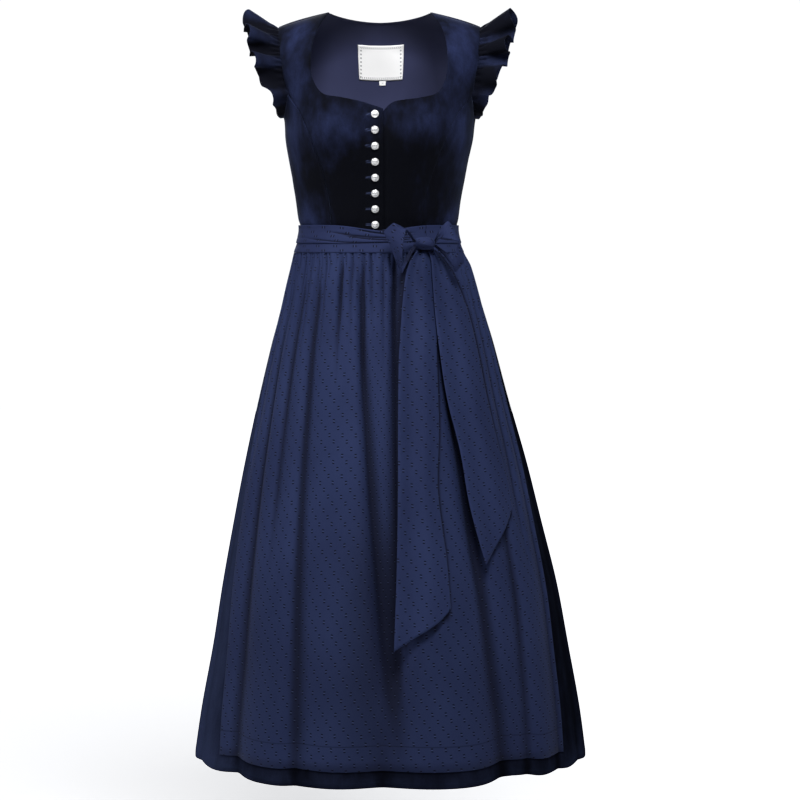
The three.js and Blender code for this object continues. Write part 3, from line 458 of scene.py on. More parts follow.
# Patches where the velvet is painted lighter, for its nap and as painted light on the straps, bust tops and
# sides, and darker, as painted shade low in the centre front: x, z, how wide and tall, how much.
NAP_AND_LIGHT_PATCHES = (
    (-125, -50, 22, 50, 0.5), (-128, -120, 22, 30, 0.3), (125, -60, 26, 60, 0.6), (-60, -185, 48, 30, 0.34),
    (75, -175, 42, 28, 0.31), (-135, -200, 16, 60, 0.5), (128, -195, 14, 60, 0.5),
    (-118, -330, 20, 26, 0.5), (-95, -345, 22, 14, 0.4), (112, -330, 16, 26, 0.45),
    (0, -290, 60, 60, -0.45), (-20, -345, 60, 30, -0.3),
)


def nap_and_light_of(points):
    """How light the velvet is, from its nap and from painted light and shade: a base, and a bell for each
    patch.
    """
    x, y, z = points[..., 0], points[..., 1], points[..., 2]
    nap_and_light = np.full(x.shape, 0.12)
    for x0, z0, wide, tall, much in NAP_AND_LIGHT_PATCHES:
        nap_and_light = nap_and_light + much * np.exp(-((x - x0) / wide) ** 2 - ((z - z0) / tall) ** 2) * (y < 20)
    back = 0.3 * np.exp(-((np.abs(x) - 90) / 45) ** 2 - ((z + 90) / 80) ** 2)
    return nap_and_light + back * (y > 20)


BODICE_CREASES = (
    (-128, -300, -84, -352, 4, 1.0), (-134, -268, -104, -318, 5, 0.8), (-120, -328, -92, -356, 3, 1.0),
    (-142, -206, -120, -236, 5, 0.7), (120, -306, 92, -350, 4, 0.9), (128, -262, 104, -300, 5, 0.7),
    (112, -334, 84, -357, 3, 0.9), (140, -190, 118, -222, 5, 0.7), (-116, -150, -70, -172, 8, 0.8),
    (116, -146, 70, -170, 8, 0.8), (-150, -120, -126, -150, 4, 0.8), (150, -118, 128, -150, 4, 0.8),
    (-40, -345, -20, -300, 6, 0.5), (44, -345, 24, -305, 6, 0.5),
)


def ruled(angle0, z0, angle1, z1, share):
    """The form between two places of each row."""
    return form_point(angle0 + (angle1 - angle0) * share, z0 + (z1 - z0) * share)


def front_rows(side, row):
    """Each row's outer and inner ends. The neckline starts with a corner at its own row."""
    key = "left" if side < 0 else "right"
    low = {name: values[:NECKLINE_ROW + 1] for name, values in FRONT_ROWS.items()}
    high = {name: values[NECKLINE_ROW:] for name, values in FRONT_ROWS.items()}
    outer_z = along(FRONT_ROWS, "outer", row)
    outer_x = side * along(FRONT_SEAM, key, outer_z)
    inner = [np.where(row <= NECKLINE_ROW, along(low, key + axis, row), along(high, key + axis, row))
             for axis in "XZ"]
    return outer_x, outer_z, *inner


def crossing(count, *stops):
    """Rows from 0 to the last stop with each stop hit exactly."""
    parts = [np.linspace(a, b, max(round(count * (b - a) / stops[-1]), 2), endpoint=False)
             for a, b in zip((0, *stops), stops)]
    return np.concatenate([*parts, [stops[-1]]])


def keep_side(points, side, gap=0.1):
    """Front pieces stay in front of the side and shoulder seams, and back pieces behind them."""
    points[..., 1] = side * np.maximum(side * points[..., 1], gap)
    points[..., 2] = np.maximum(points[..., 2], WAIST_SEAM)
    return points


BUTTONS, BUTTON_TOP, BUTTON_PITCH = 8, -167, 24.2
HOLE_X, HOLE_HALF, LIP_OFF, LIP_WIDE = -16, 4.5, 1.0, 0.5


def buttonholes(points):
    """1 along the two stitched lips of each buttonhole, which runs in from its button."""
    x, z = points[..., 0], points[..., 2]
    number = np.clip(np.round((BUTTON_TOP - z) / BUTTON_PITCH), 0, BUTTONS - 1)
    off = np.abs(z - BUTTON_TOP + number * BUTTON_PITCH)
    return np.exp(-((off - LIP_OFF) / LIP_WIDE) ** 2) * (np.abs(x - HOLE_X) < HOLE_HALF)


def bodice_panel(name, points, side, flip=False):
    """A lined velvet panel in front, side -1, or behind, side 1. The waist edge isn't rolled."""
    shaped = roll_edges(crease(points, BODICE_CREASES) if side < 0 else points, "lrt", 0.9, 2.2)
    shaped = keep_side(shaped, side)
    fields = {"nap_and_light": nap_and_light_of(shaped), "stitch": buttonholes(shaped) * (name == "front_left")}
    piece = cloth(name + "_velvet", shaped, bodice_velvet, [name], VELVET_WALL, lining,
                  flip=flip, fields=fields)
    declare(shaped)


for side, key in ((-1, "left"), (1, "right")):
    row = crossing(420 if side < 0 else 120, NECKLINE_ROW, SEAM_ROWS, LAST_ROW)[:, None]
    outer_x, outer_z, inner_x, inner_z = front_rows(side, row)
    share = even(48, 0.6)[None, :]
    if side < 0:
        points = ruled(angle_at(outer_x, outer_z), outer_z, angle_at(inner_x, inner_z), inner_z, share)
    else:
        points = ruled(angle_at(inner_x, inner_z), inner_z, angle_at(outer_x, outer_z), outer_z, share)
        under = np.clip((LAP_SLOPE_END - points[..., 0]) / (LAP_SLOPE_END - LAP_EDGE - 2), 0, 1)
        points[..., 1] += LAP_STEP * under * (row <= NECKLINE_ROW)
    bodice_panel(f"front_{key}", points, -1)

for behind in (False, True):
    for side, key in ((-1, "left"), (1, "right")):
        row = np.linspace(0, SEAM_ROWS, 71)[:, None]
        share = even(34, 0.6)[None, :]
        seam_z = along(BACK_ROWS, "z", row) if behind else along(FRONT_ROWS, "outer", row)
        seam_x = along(BACK_SEAM, "half", seam_z) if behind else along(FRONT_SEAM, key, seam_z)
        start = angle_at(side * (seam_x + SEAM_HALF), seam_z)
        start = side * 180 - start if behind else start
        side_z = WAIST_SEAM + (UNDERARM - WAIST_SEAM) * row / SEAM_ROWS
        scoop = ARMHOLE_SCOOP * np.sin(np.pi * share) * (row / SEAM_ROWS) ** 3
        points = form_point(start + (side * 90 - start) * share, seam_z + (side_z - seam_z) * share - scoop)
        name = f"side_{'back' if behind else 'front'}_{key}"
        bodice_panel(name, points, 1 if behind else -1, flip=(side < 0) != behind)


def centre_back_points(row, share):
    """The centre back's own grid: a share of the half width at each row, and heights that end along
    the back neck and the shoulders."""
    seam_z = along(BACK_ROWS, "z", row)
    top_x = share * SHOULDER_X
    neck = -BACK_NECK_DROP * (1 - (top_x / NECK_POINT_X) ** 2)
    top_z = np.where(np.abs(top_x) < NECK_POINT_X, neck, shoulder_height(top_x))
    rise = (seam_z - WAIST_SEAM) / (BACK_ROWS["z"][-1] - WAIST_SEAM)
    z = WAIST_SEAM + (top_z - WAIST_SEAM) * rise
    return form_point(180 - angle_at(share * (along(BACK_SEAM, "half", seam_z) - SEAM_HALF), z), z)


row = crossing(110, SEAM_ROWS, LAST_ROW)[:, None]
share = (2 * even(96, 0.35) - 1)[None, ::-1]
bodice_panel("centre_back", centre_back_points(row, share), 1)


# Skirt and apron cloths share one set of folds.
# The skirt is velvet, gathered into the waist seam, in a front and a back with side seams.
# Gathers are narrow valleys that start under the band and fade; long folds run on to the hem.
BAND_BOTTOM, SKIRT_HEM = -380, -1178
APRON_EDGE, SIDE_SEAM, HEM_LEFT, HEM_RIGHT, HEM_SIDE = 86, 97, 56, 60, 95
GATHERS = table(
    "at reach deep",
    (-92, 90, 4), (-80, 130, 4.4), (-72, 210, 5), (-64, 120, 4), (-57, 230, 5.4), (-50, 130, 4.4),
    (-43, 190, 5), (-36, 110, 4), (-24, 180, 5.4), (-17, 120, 4), (-9.8, 230, 5.4), (-4.5, 110, 4),
    (2, 150, 4.6),
    (10, 260, 5.6), (18, 120, 4.2), (26, 210, 5.4), (34, 130, 4.4), (43, 200, 5), (53, 140, 4.4),
    (63, 210, 5), (72, 130, 4.4), (80, 180, 4.8), (92, 90, 4),
    *((100.5 + 159 * i / 21, 150 + 90 * math.sin(1.9 * i + 0.6), 5 + 1.1 * math.sin(2.7 * i + 1.3))
      for i in range(22)),
)
GATHER_WIDE, GATHER_DEEPER = 1.35, 1.1
LONG_FOLDS = table(
    "top hem wideTop wideHem deepTop deepHem from to",
    (-1, 1, 6, 12, 2, 15, -400, -1400), (-12.4, 7.5, 1.9, 5.0, 8, 17, -380, -1150),
    (8.6, 5.0, 1.5, 3.0, 13, 14, -372, -1080), (-40, -25, 1.9, 5.2, 9, 15, -382, -1250),
    (-53, -37, 2, 4.6, 8, 7, -382, -900), (-24, -15, 1.8, 2.6, 6, 3, -382, -560),
    (-66, -49, 2.2, 6, 7, 14, -390, -1400), (-77, -58, 2.2, 3.6, 5, 3, -390, -800),
    (24, 19, 1.8, 4, 6, 2, -385, -700), (31, 37, 2.2, 7, 8, 20, -390, -1400),
    (44, 31, 2, 3, 8, 6, -390, -900), (55, 45, 2, 3.6, 7, 10, -390, -1400),
    (70, 49, 2, 2.8, 9, 5, -385, -900),
    (79, 58, 2.2, 3.6, 6, 8, -390, -1400), (86, 72, 3.4, 5, 4, 7, -400, -1400),
    (95, 86, 4, 6, 3, 5, -450, -1400), (-86, -72, 3.4, 5, 4, 6, -400, -1400),
    (-95, -86, 4, 6, 3, 4, -450, -1400), (104, 101, 4, 5, 6, 16, -400, -1400),
    (119, 116, 4, 5, 7, 20, -390, -1400), (134, 131, 4, 5, 7, 14, -420, -1400),
    (149, 148, 4, 6, 8, 22, -390, -1400), (163, 166, 4, 5, 7, 12, -400, -1000),
    (178, 181, 4, 6, 8, 21, -390, -1400), (194, 196, 4, 5, 7, 15, -410, -1400),
    (209, 212, 4, 6, 8, 22, -390, -1400), (225, 228, 4, 5, 7, 13, -430, -1400),
    (241, 244, 4, 5, 7, 20, -390, -1400), (256, 259, 4, 5, 6, 15, -400, -1400),
)
FOLD_POINT, FOLD_LEAN = 1.5, 0.45
HEM_RISE = 0.3


def valley(apart, lean):
    """A pointed bell: exp(-|u|^1.5), steeper on the side that it leans to."""
    return np.exp(-np.abs(apart * (1 + lean * np.tanh(2 * apart))) ** FOLD_POINT)


def drop_of(z):
    """0 at the band and 1 at the hem."""
    return (BAND_BOTTOM - z) / (BAND_BOTTOM - SKIRT_HEM)


def skirt_angle(top_angle, z):
    """Where a thread that leaves the band at an angle has got to at a height."""
    fan = np.clip(drop_of(z), 0, 1) ** 0.8
    low = np.interp(top_angle, (-SIDE_SEAM, -APRON_EDGE, APRON_EDGE, SIDE_SEAM, 360 - SIDE_SEAM),
                    (-HEM_SIDE, -HEM_LEFT, HEM_RIGHT, HEM_SIDE, 360 - HEM_SIDE))
    return top_angle + (low - top_angle) * fan


FINE_GATHERS = table(
    "at reach deep",
    *((-95 + 3.9 * i + 0.8 * math.sin(2.3 * i), 34 + 22 * math.sin(3.1 * i + 1),
       2.6 + 0.9 * math.sin(1.7 * i)) for i in range(92)),
)
FINE_WIDE = 0.75


def gather_depth(top_angle, z):
    """Bell-shaped valleys at the gathers, opening below the band and fading at each one's reach."""
    below = BAND_BOTTOM - z
    opening = np.clip(0.25 + below / 40, 0.25, 1)
    sink = np.zeros(np.broadcast(top_angle, z).shape)
    for at, reach, deep in zip(*GATHERS.values()):
        fading = np.clip(1 - (below - 50) / reach, 0, 1)
        sink = np.maximum(sink, GATHER_DEEPER * deep * fading * valley((top_angle - at) / GATHER_WIDE, 0))
    fine = np.zeros(sink.shape)
    for at, reach, deep in zip(*FINE_GATHERS.values()):
        fading = np.clip(1.2 - below / reach, 0, 1)
        fine = np.maximum(fine, deep * fading * valley((top_angle - at) / FINE_WIDE, 0))
    return sink * opening + fine * np.clip(0.5 + below / 12, 0, 1)


def long_fold_depth(angle, z):
    """Bell-shaped valleys that drift and widen from the band to the hem."""
    drop = drop_of(z)
    sink = np.zeros(np.broadcast(angle, z).shape)
    for top, hem, wide_top, wide_hem, deep_top, deep_hem, start, stop in zip(*LONG_FOLDS.values()):
        apart = (angle - (top + (hem - top) * drop) + 540) % 360 - 180
        wide = wide_top + (wide_hem - wide_top) * drop
        ends = np.clip((start - z) / 70, 0, 1) * np.clip((z - stop) / 150, 0, 1)
        lean = -FOLD_LEAN * np.sign(hem - top) * (wide_hem < 5.5)
        sink += (deep_top + (deep_hem - deep_top) * drop) * ends * valley(apart / wide, lean)
    return sink


def hollow_of(sink, reach):
    """How far each point lies inside the mean of those beside it, as 0 to 1 for 5 mm."""
    padded = np.pad(sink, ((0, 0), (reach, reach)), mode="edge")
    total = np.cumsum(np.pad(padded, ((0, 0), (1, 0))), axis=1)
    mean = (total[:, 2 * reach + 1:] - total[:, :-2 * reach - 1]) / (2 * reach + 1)
    return np.clip((sink - mean) / 5, 0, 1)


def pushed(angle, z, out):
    """A point of the form pushed straight out from the dress's axis."""
    points = form_point(angle, z)
    radius = np.hypot(points[..., 0], points[..., 1])
    points[..., :2] *= (1 + out / radius)[..., None]
    return points


def hanging(top_angle, z, out):
    """A point of a gathered cloth that hangs over the form. The hem rises a little in deep folds."""
    angle = skirt_angle(top_angle, z)
    long_depth = long_fold_depth(angle, z)
    points = pushed(angle, z, out - gather_depth(top_angle, z) - long_depth)
    points[..., 2] += HEM_RISE * (np.minimum(long_depth, 20) - 6) * np.clip(drop_of(z), 0, 1) ** 3
    return points


skirt_velvet = velvet("skirt velvet", srgb(6, 7, 13), srgb(38, 45, 70), 0.008, 0.6, 0.0)
SKIRT_WALL = 1.4
for name, start, end, columns in (("skirt_front", -SIDE_SEAM, SIDE_SEAM, 300),
                                  ("skirt_back", SIDE_SEAM, 360 - SIDE_SEAM, 340)):
    top_angle = np.linspace(start, end, columns + 1)[None, :]
    z = np.linspace(SKIRT_HEM, WAIST_SEAM - 0.3, 111)[:, None]
    points = roll_edges(hanging(top_angle, z, 0), "lrb", 0.8, 2.5)
    angle = skirt_angle(top_angle, z)
    # Painted light: the left side, turned to the left lamp, is lighter. The cloth is also lighter towards
    # the back and along the hem.
    nap_and_light = 0.05 + 0.95 * np.exp(-((angle + 75) / 22) ** 2) + 0.35 * np.clip(points[..., 1] / 140, 0, 1)
    nap_and_light = nap_and_light + 0.3 * np.exp(-((z - SKIRT_HEM) / 30) ** 2)
    # Painted shade in the hollows of the gathers and the long folds.
    painted_shade = hollow_of(gather_depth(top_angle, z) + long_fold_depth(angle, z), 8)
    piece = cloth(name + "_velvet", points, skirt_velvet, [name], SKIRT_WALL, lining,
                  fields={"nap_and_light": nap_and_light, "painted_shade": painted_shade})
    declare(points)


# Apron panel: the same folds as the skirt under it, one layer further out.
# Its pattern is charted in metres on the flat cloth. Where the cloth dips into a fold more of it is
# taken up, so the dots run on over the ridges at their own size.
BAND_TOP, APRON_HEM = -346, -1153
LAYER_GAP, APRON_WALL, BAND_WALL, TIE_WALL = 0.7, 1.2, 1.8, 1.4
APRON_CUT = 0.70
DOT_ACROSS, DOT_DOWN, DOT_SHIFT = 0.0210, 0.0106, 0.0070
DASH_WIDE, DASH_TALL, DASH_APART = 0.0035, 0.0018, 0.0042
STITCH_RISE = 0.037


def dotted_cotton(name, light, dark, turned=False):
    """Navy cotton with pairs of small dark dashes on a slanted lattice and a pale thread between the
    two. Rows lie DOT_DOWN apart and each is shifted by DOT_SHIFT."""
    shader = Shader(name, Roughness=0.8, Sheen_Weight=0.02, Sheen_Roughness=0.4,
                    Sheen_Tint=(0.45, 0.55, 1, 1), Specular_IOR_Level=0.08)
    across, down = shader.lay()
    if turned:
        across, down = down, across
    row = (down / DOT_DOWN).floor()
    inrow = (down / DOT_DOWN).wrap() * DOT_DOWN
    aside = ((across + row * DOT_SHIFT) / DOT_ACROSS).wrap() * DOT_ACROSS
    wobble = (shader.noise(0.013, 1.0) - 0.5) * 0.0009
    aside = aside + wobble
    pair = abs(abs(inrow) - DASH_APART / 2)
    dash = abs(aside * (2 / DASH_WIDE)).step(1.25, 0.75) * abs(pair * (2 / DASH_TALL)).step(1.3, 0.7)
    thread = abs(aside * (2 / DASH_WIDE)).step(1.1, 0.6) * abs(inrow * (2 / DASH_TALL)).step(1.0, 0.4)
    mottle = shader.noise(0.09, 2.0, 0.5, (1, 1, 0.5))
    cloth_colour = shader.mix(mottle.step(0.25, 0.75), dark, light)
    # Painted shade, where the mesh's field marks folds and shadows.
    cloth_colour = shader.mix(shader.field("painted_shade").step(0, 1) * 0.85, cloth_colour, srgb(8, 10, 24))
    weave = shader.noise(0.0009, 1.0, 0.5)
    seam = abs(shader.field("rise") - STITCH_RISE).step(0.0013, 0.0005)
    cloth_colour = shader.mix(seam * 0.45, cloth_colour, srgb(10, 12, 28))
    colour = shader.mix(dash * 0.95, cloth_colour, srgb(4, 5, 16))
    colour = shader.mix(thread * 0.22, colour, srgb(80, 92, 130))
    height = weave * 0.5 - dash * 0.15 - seam * 0.8
    return shader.feed(Base_Color=colour, Normal=shader.bump(height, 0.0004, 0.5))


cotton = dotted_cotton("dotted cotton", srgb(34, 43, 75), srgb(28, 36, 66))
band_cotton = dotted_cotton("dotted cotton, turned", srgb(34, 42, 73), srgb(29, 36, 66), turned=True)


def taken_up(points, sink, cut):
    """The lay of a gathered cloth: its visible arc, and the rest of the cut's width in the folds."""
    arc = lengths(points, 1)
    weight = np.cumsum(sink**2 + 1e-6, axis=1)
    hidden = np.clip(cut / MM - arc[:, -1:], 0, None) * weight / weight[:, -1:]
    across = (arc + hidden) * MM
    up = lengths(points, 0) * MM
    return np.stack([across - across[:, -1:] / 2, up - up[-1:]], axis=-1)


# The bow's tails hang over the apron, so they are charted here. Each has how far it stands off, how
# wide its shade falls to the left, and its rows.
TAILS = {
    "left": (6, 13, table(
        "z start end slant",
        (-376.5, 58, 76.4, 0), (-394, 47, 80.4, 0), (-414, 41, 81.6, 0), (-466, 35, 85.6, 0),
        (-483, 34, 87, 0), (-506, 32.4, 88.8, 0), (-547, 30, 89.5, 0), (-649, 29, 92, 0),
        (-739, 29, 90, 0), (-850, 27, 103, 12), (-948, 23, 109, 50))),
    "right": (7, 4, table(
        "z start end slant",
        (-375.9, 77, 89, 0), (-394, 81, 103, 0), (-412, 82, 115, 0), (-466, 86, 137, 0),
        (-520, 92, 151, 0), (-600, 104, 167, 0), (-680, 125, 184, 10), (-750, 139, 199, 30),
        (-818, 163, 206, 70))),
}


def tail_foot(slant, share):
    """How far a tail's slanted rows rise across it, rounded up at the longer corner."""
    return slant * (share - 0.5 + 0.2 * share**8)


def shade_of_tails(points):
    """1 on the apron along the edges of the tails that lie on it, fading outwards."""
    x, z = points[..., 0], points[..., 2]
    shade = np.zeros(x.shape)
    for _, beside, rows in TAILS.values():
        start, end, slant = (along(rows, name, z) for name in ("start", "end", "slant"))
        out = np.maximum(np.maximum(start - x, x - end), 0)
        wide = np.where(x < start, beside, 3)
        foot = rows["z"][-1] + tail_foot(slant, np.clip((x - start) / (end - start), 0, 1))
        below = np.maximum(foot - z, 0)
        shade = np.maximum(shade, np.exp(-(out / wide) ** 2 - (below / 4) ** 2))
    return shade


top_angle = np.linspace(-APRON_EDGE, APRON_EDGE, 521)[None, :]
z = APRON_HEM + (BAND_BOTTOM - 0.3 - APRON_HEM) * (1 - (1 - np.linspace(0, 1, 82)) ** 1.6)[:, None]
apron_points = hanging(top_angle, z, LAYER_GAP + APRON_WALL)
angle = skirt_angle(top_angle, z)
sink = gather_depth(top_angle, z) + long_fold_depth(angle, z)
# Painted shade in the folds, and painted shadow along the edges of the tails.
painted_shade = np.maximum(hollow_of(sink, 9), 0.8 * hollow_of(sink, 26))
painted_shade = np.maximum(painted_shade, 0.9 * shade_of_tails(apron_points))
# Painted shade: the cloth is darker low down, where the light falls off, and in the wide dip to the left of
# the left tail.
low = 0.3 * np.clip((-720 - z) / 300, 0, 1)
middle = 0.45 * np.exp(-((apron_points[..., 0] + 12) / 45) ** 2 - ((z + 930) / 250) ** 2)
painted_shade = 1 - (1 - painted_shade) * (1 - low) * (1 - middle)
apron = cloth("apron_cotton", apron_points, cotton, ["apron_panel"], APRON_WALL, cotton,
              lays=taken_up(apron_points, sink, APRON_CUT),
              fields={"painted_shade": painted_shade, "rise": lengths(apron_points, 0) * MM})
declare(apron_points, APRON_CUT)


# Waistband and ties: a band in front, the ties' run behind, and the ties wrapped once more round the
# waist over the band, in folds that draw together towards the knot.
BAND_END, WRAP_START, WRAP_END = 92, 33.1, 392.9
WRAP_TOP, WRAP_BOTTOM, WRAP_DIP, WRAP_DIP_AT, WRAP_DIP_WIDE = -337, -365, 8, 2, 19
WRAP_FOLDS = (
    (-14, -342, 52, -349, 1.1, 1.7), (-34, -344, 52, -352.5, 1.1, 1.9), (-74, -348, 52, -356, 1.2, 1.7),
    (-52, -354, 52, -359, 1.1, 1.6), (-118, -357, 40, -362, 1.3, 1.2), (94, -349, 122, -351, 1.2, 1.4),
    (92, -357, 120, -360, 1.2, 1.3),
)
WRAP_BACK_FOLDS = (
    (-118, -349, 30, -345, 1.3, 1.2), (-90, -357, 118, -354, 1.4, 1.3), (20, -350, 122, -346, 1.2, 1.1),
)


def around(angle, z_rows, out):
    """A band's points: rows of heights pushed out from the form."""
    return pushed(np.broadcast_to(angle, z_rows.shape), z_rows, out)


def band_piece(name, angles, bottom, top, out, wall, rows=14, folds=(), back_folds=()):
    angle = np.linspace(*angles)[None, :]
    share = even(rows, 0.5)[:, None]
    points = around(angle, bottom(angle) + (top(angle) - bottom(angle)) * share, out + wall)
    behind = points[..., 1:2] > 0
    flat, points = points, np.where(behind, crease(points, back_folds, 0.03), crease(points, folds, 0.03))
    # Painted shade in the creases, as deep as each point is pushed in.
    painted_shade = np.clip(np.linalg.norm(points - flat, axis=-1) / 1.2, 0, 1) ** 2
    points = roll_edges(points, "tb", 0.5, 1.2)
    piece = cloth(name + "_cotton", points, band_cotton, [name], wall, band_cotton,
                  fields={"painted_shade": painted_shade})
    declare(points)


def level(z):
    return lambda angle: np.full(angle.shape, float(z))


def wrap_top(angle):
    apart = ((angle - WRAP_DIP_AT + 540) % 360 - 180) / WRAP_DIP_WIDE
    return WRAP_TOP - WRAP_DIP * np.exp(-apart**2)


def wrap_bottom(angle):
    return WRAP_BOTTOM + 3 * np.exp(-((angle - 387) / 22) ** 2)


band_piece("apron_waistband", (-BAND_END, BAND_END, 181), level(BAND_BOTTOM), level(BAND_TOP), LAYER_GAP,
           BAND_WALL)
band_piece("tie_back", (BAND_END + 0.2, 360 - BAND_END - 0.2, 161), level(-378), level(-348), LAYER_GAP,
           TIE_WALL)
band_piece("tie_wrap", (WRAP_START, WRAP_END, 401), wrap_bottom, wrap_top, 2 * LAYER_GAP + BAND_WALL,
           TIE_WALL, rows=26, folds=WRAP_FOLDS, back_folds=WRAP_BACK_FOLDS)


# Bow: a knot, two loops and two tails of the ties.
# A loop is a ribbon between a front and a back edge, out from the knot and back to it. A tail hangs
# over the apron's outermost folds and ends on a slant.
KNOT_X, KNOT_Z, KNOT_WIDE, KNOT_DEEP, KNOT_TALL, KNOT_STAND = 70.5, -365.5, 16, 17, 10.5, 14
KNOT_SEAT = 2 * LAYER_GAP + BAND_WALL + TIE_WALL + LAYER_GAP
LOOPS = {
    "left": (
        ((54.1, -108, -362), (49, -124, -352), (42.5, -138, -345), (40.5, -142, -348),
         (37, -148, -366), (35, -149, -388), (34, -143, -406), (35.5, -138, -411), (41, -129, -399),
         (47.5, -117, -384), (54.1, -108, -371)),
        ((54.1, -103, -361), (40, -124, -345), (22.5, -133, -335), (19.5, -133, -336), (8, -131, -347),
         (8.5, -131, -350.5), (18, -132, -370), (27, -132, -394), (33, -128, -404), (42, -112, -386),
         (54.1, -103, -370)),
    ),
    "right": (
        ((86.3, -102, -363), (95, -126, -357), (106, -134, -358), (118, -136, -361),
         (121.5, -132, -364), (119, -127, -374), (114, -123, -388), (108, -118, -384),
         (98, -110, -377), (86.4, -102, -370)),
        ((86.3, -96, -362), (95, -115, -342), (104, -126, -332), (109, -126, -333), (119, -125, -352),
         (128, -122, -377), (131.5, -120, -393), (128, -119, -398), (119, -117, -409.5),
         (115, -115, -406), (101, -103, -383), (86.4, -96, -369)),
    ),
}
TAIL_CREASE = 2.5


def over(x, z, out):
    """The point at x on the front of the form pushed out, found by stepping to it."""
    start = np.broadcast_to(x, np.broadcast(x, z, out).shape).astype(float)
    points = pushed(angle_at(start, z), z, out)
    for _ in range(5):
        start = start + x - points[..., 0]
        points = pushed(angle_at(start, z), z, out)
    return points


def through(stops, count):
    """A curve through points, spaced evenly: Hermite pieces with the neighbours' slopes."""
    stops = np.array(stops, float)
    run = np.concatenate([[0], np.cumsum(np.sqrt(np.linalg.norm(np.diff(stops, axis=0), axis=1)))])
    fine = np.linspace(0, run[-1], 600)
    curve = np.stack([along({"run": run, "at": stops[:, k]}, "at", fine) for k in range(3)], axis=-1)
    way = np.concatenate([[0], np.cumsum(np.linalg.norm(np.diff(curve, axis=0), axis=1))])
    even_way = np.linspace(0, way[-1], count + 1)
    return np.stack([np.interp(even_way, way, curve[:, k]) for k in range(3)], axis=-1)


share = np.linspace(0, 1, 41)[:, None]
turn = np.linspace(0, 2 * math.pi, 73)[None, :]
sideways = -np.cos(math.pi * (0.02 + 0.96 * share))
girth = (1 - sideways**2) ** 0.3
pleats = 1 - 0.055 * np.abs(np.sin(2.5 * turn + 1.2 * sideways + 0.4)) ** 0.5
knot_x = KNOT_X + KNOT_WIDE * sideways + 0 * turn
knot_z = KNOT_Z + KNOT_TALL * girth * pleats * np.sin(turn)
centre_y = form_point(angle_at(np.array(KNOT_X), KNOT_Z), KNOT_Z)[1] - KNOT_STAND
behind = over(knot_x, knot_z, KNOT_SEAT)[..., 1]
knot_y = np.minimum(centre_y - KNOT_DEEP * girth * pleats * np.cos(turn), behind)
knot_points = np.stack([knot_x, knot_y, knot_z], axis=-1)
knot = cloth("bow_knot_cotton", knot_points, band_cotton, ["bow_knot"], 1.0, band_cotton,
             flip=True)
declare(knot_points)

for key, (front_edge, back_edge) in LOOPS.items():
    front_curve, back_curve = through(front_edge, 140), through(back_edge, 140)
    share = even(24, 0.4)[:, None, None]
    points = front_curve[None] + (back_curve - front_curve)[None] * share
    way = np.linspace(0, 1, 141)[None, :]
    across = even(24, 0.4)[:, None]
    near_knot = np.exp(-(way / 0.16) ** 2) + np.exp(-((1 - way) / 0.16) ** 2)
    bulge = 2.5 * np.sin(math.pi * across) * np.sin(math.pi * way) ** 0.5
    folds = 1.3 * np.cos(5 * math.pi * across + 2 * way) * near_knot
    points = points + normals_of(points) * (bulge + folds)[..., None]
    # Painted shade at the loop's start by the knot and over its last part, where it turns back into the
    # knot.
    painted_shade = np.clip((way - 0.72) * 6, 0, 0.7) + np.exp(-(way / 0.06) ** 2) + 0 * across
    loop = cloth(f"bow_loop_{key}_cotton", points, band_cotton, [f"bow_loop_{key}"],
                 TIE_WALL, band_cotton, fields={"painted_shade": painted_shade})
    declare(points)

for key, (stand, _, rows) in TAILS.items():
    share = even(30, 0.5)[None, :]
    level_z = np.linspace(rows["z"][-1], rows["z"][0], 141)[:, None]
    start, end, slant = (along(rows, name, level_z) for name in ("start", "end", "slant"))
    tail_x = start + (end - start) * share
    tail_z = level_z + tail_foot(slant, share)
    soft = TAIL_CREASE * np.cos(3 * math.pi * share)
    points = over(tail_x, tail_z, LAYER_GAP + APRON_WALL + stand + soft + TIE_WALL)
    points = roll_edges(points, "lr", 0.6, 1.5)
    tail = cloth(f"bow_tail_{key}_cotton", points, cotton, [f"bow_tail_{key}"], TIE_WALL,
                 cotton)
    declare(points)


# Ruffles: a velvet strip gathered onto each armhole, from the underarm over the shoulder and down.
# Its waves turn under themselves at the free edge, and the strip tips up and forward at the shoulder.
# Its edge is scalloped: each crest stands out and is blunt at its tip.
RUFFLE_ROWS = table(
    "at wide up ahead wave",
    (0, 5, -0.1, 0.1, 0.5), (0.12, 22, -0.12, 0.3, 4.5), (0.25, 41, 0, 0.36, 11), (0.38, 52, 0.22, 0.26, 14),
    (0.5, 58, 0.4, 0, 15), (0.62, 52, 0.22, -0.26, 14), (0.75, 41, 0, -0.36, 11),
    (0.88, 22, -0.12, -0.3, 4.5), (1, 5, -0.1, -0.1, 0.5),
)
RUFFLE_WAVES, RUFFLE_UNEVEN, RUFFLE_STANDOFF, RUFFLE_WALL = 8, 0.16, 1.2, 1.5
RUFFLE_STEPS = 420


def armhole(side, key):
    """The armhole's edge: side front, front, back and side back, each from the panels' own rules."""
    def side_rim(behind, share):
        seam_z = -112 if behind else -134
        seam_x = along(BACK_SEAM, "half", seam_z) if behind else along(FRONT_SEAM, key, seam_z)
        start = angle_at(side * seam_x, np.array(float(seam_z)))
        start = side * 180 - start if behind else start
        scoop = ARMHOLE_SCOOP * np.sin(np.pi * share)
        return form_point(start + (side * 90 - start) * share, seam_z + (UNDERARM - seam_z) * share - scoop)
    front_z = np.linspace(-134, -28, 14)
    back_z = np.linspace(-28, -112, 12)
    front = form_point(angle_at(side * along(FRONT_SEAM, key, front_z), front_z), front_z)
    back = form_point(side * 180 - angle_at(side * along(BACK_SEAM, "half", back_z), back_z), back_z)
    return np.concatenate([side_rim(False, np.array([0.8, 0.6, 0.4, 0.2])), front, back,
                           side_rim(True, np.array([0.2, 0.4, 0.6, 0.8]))])


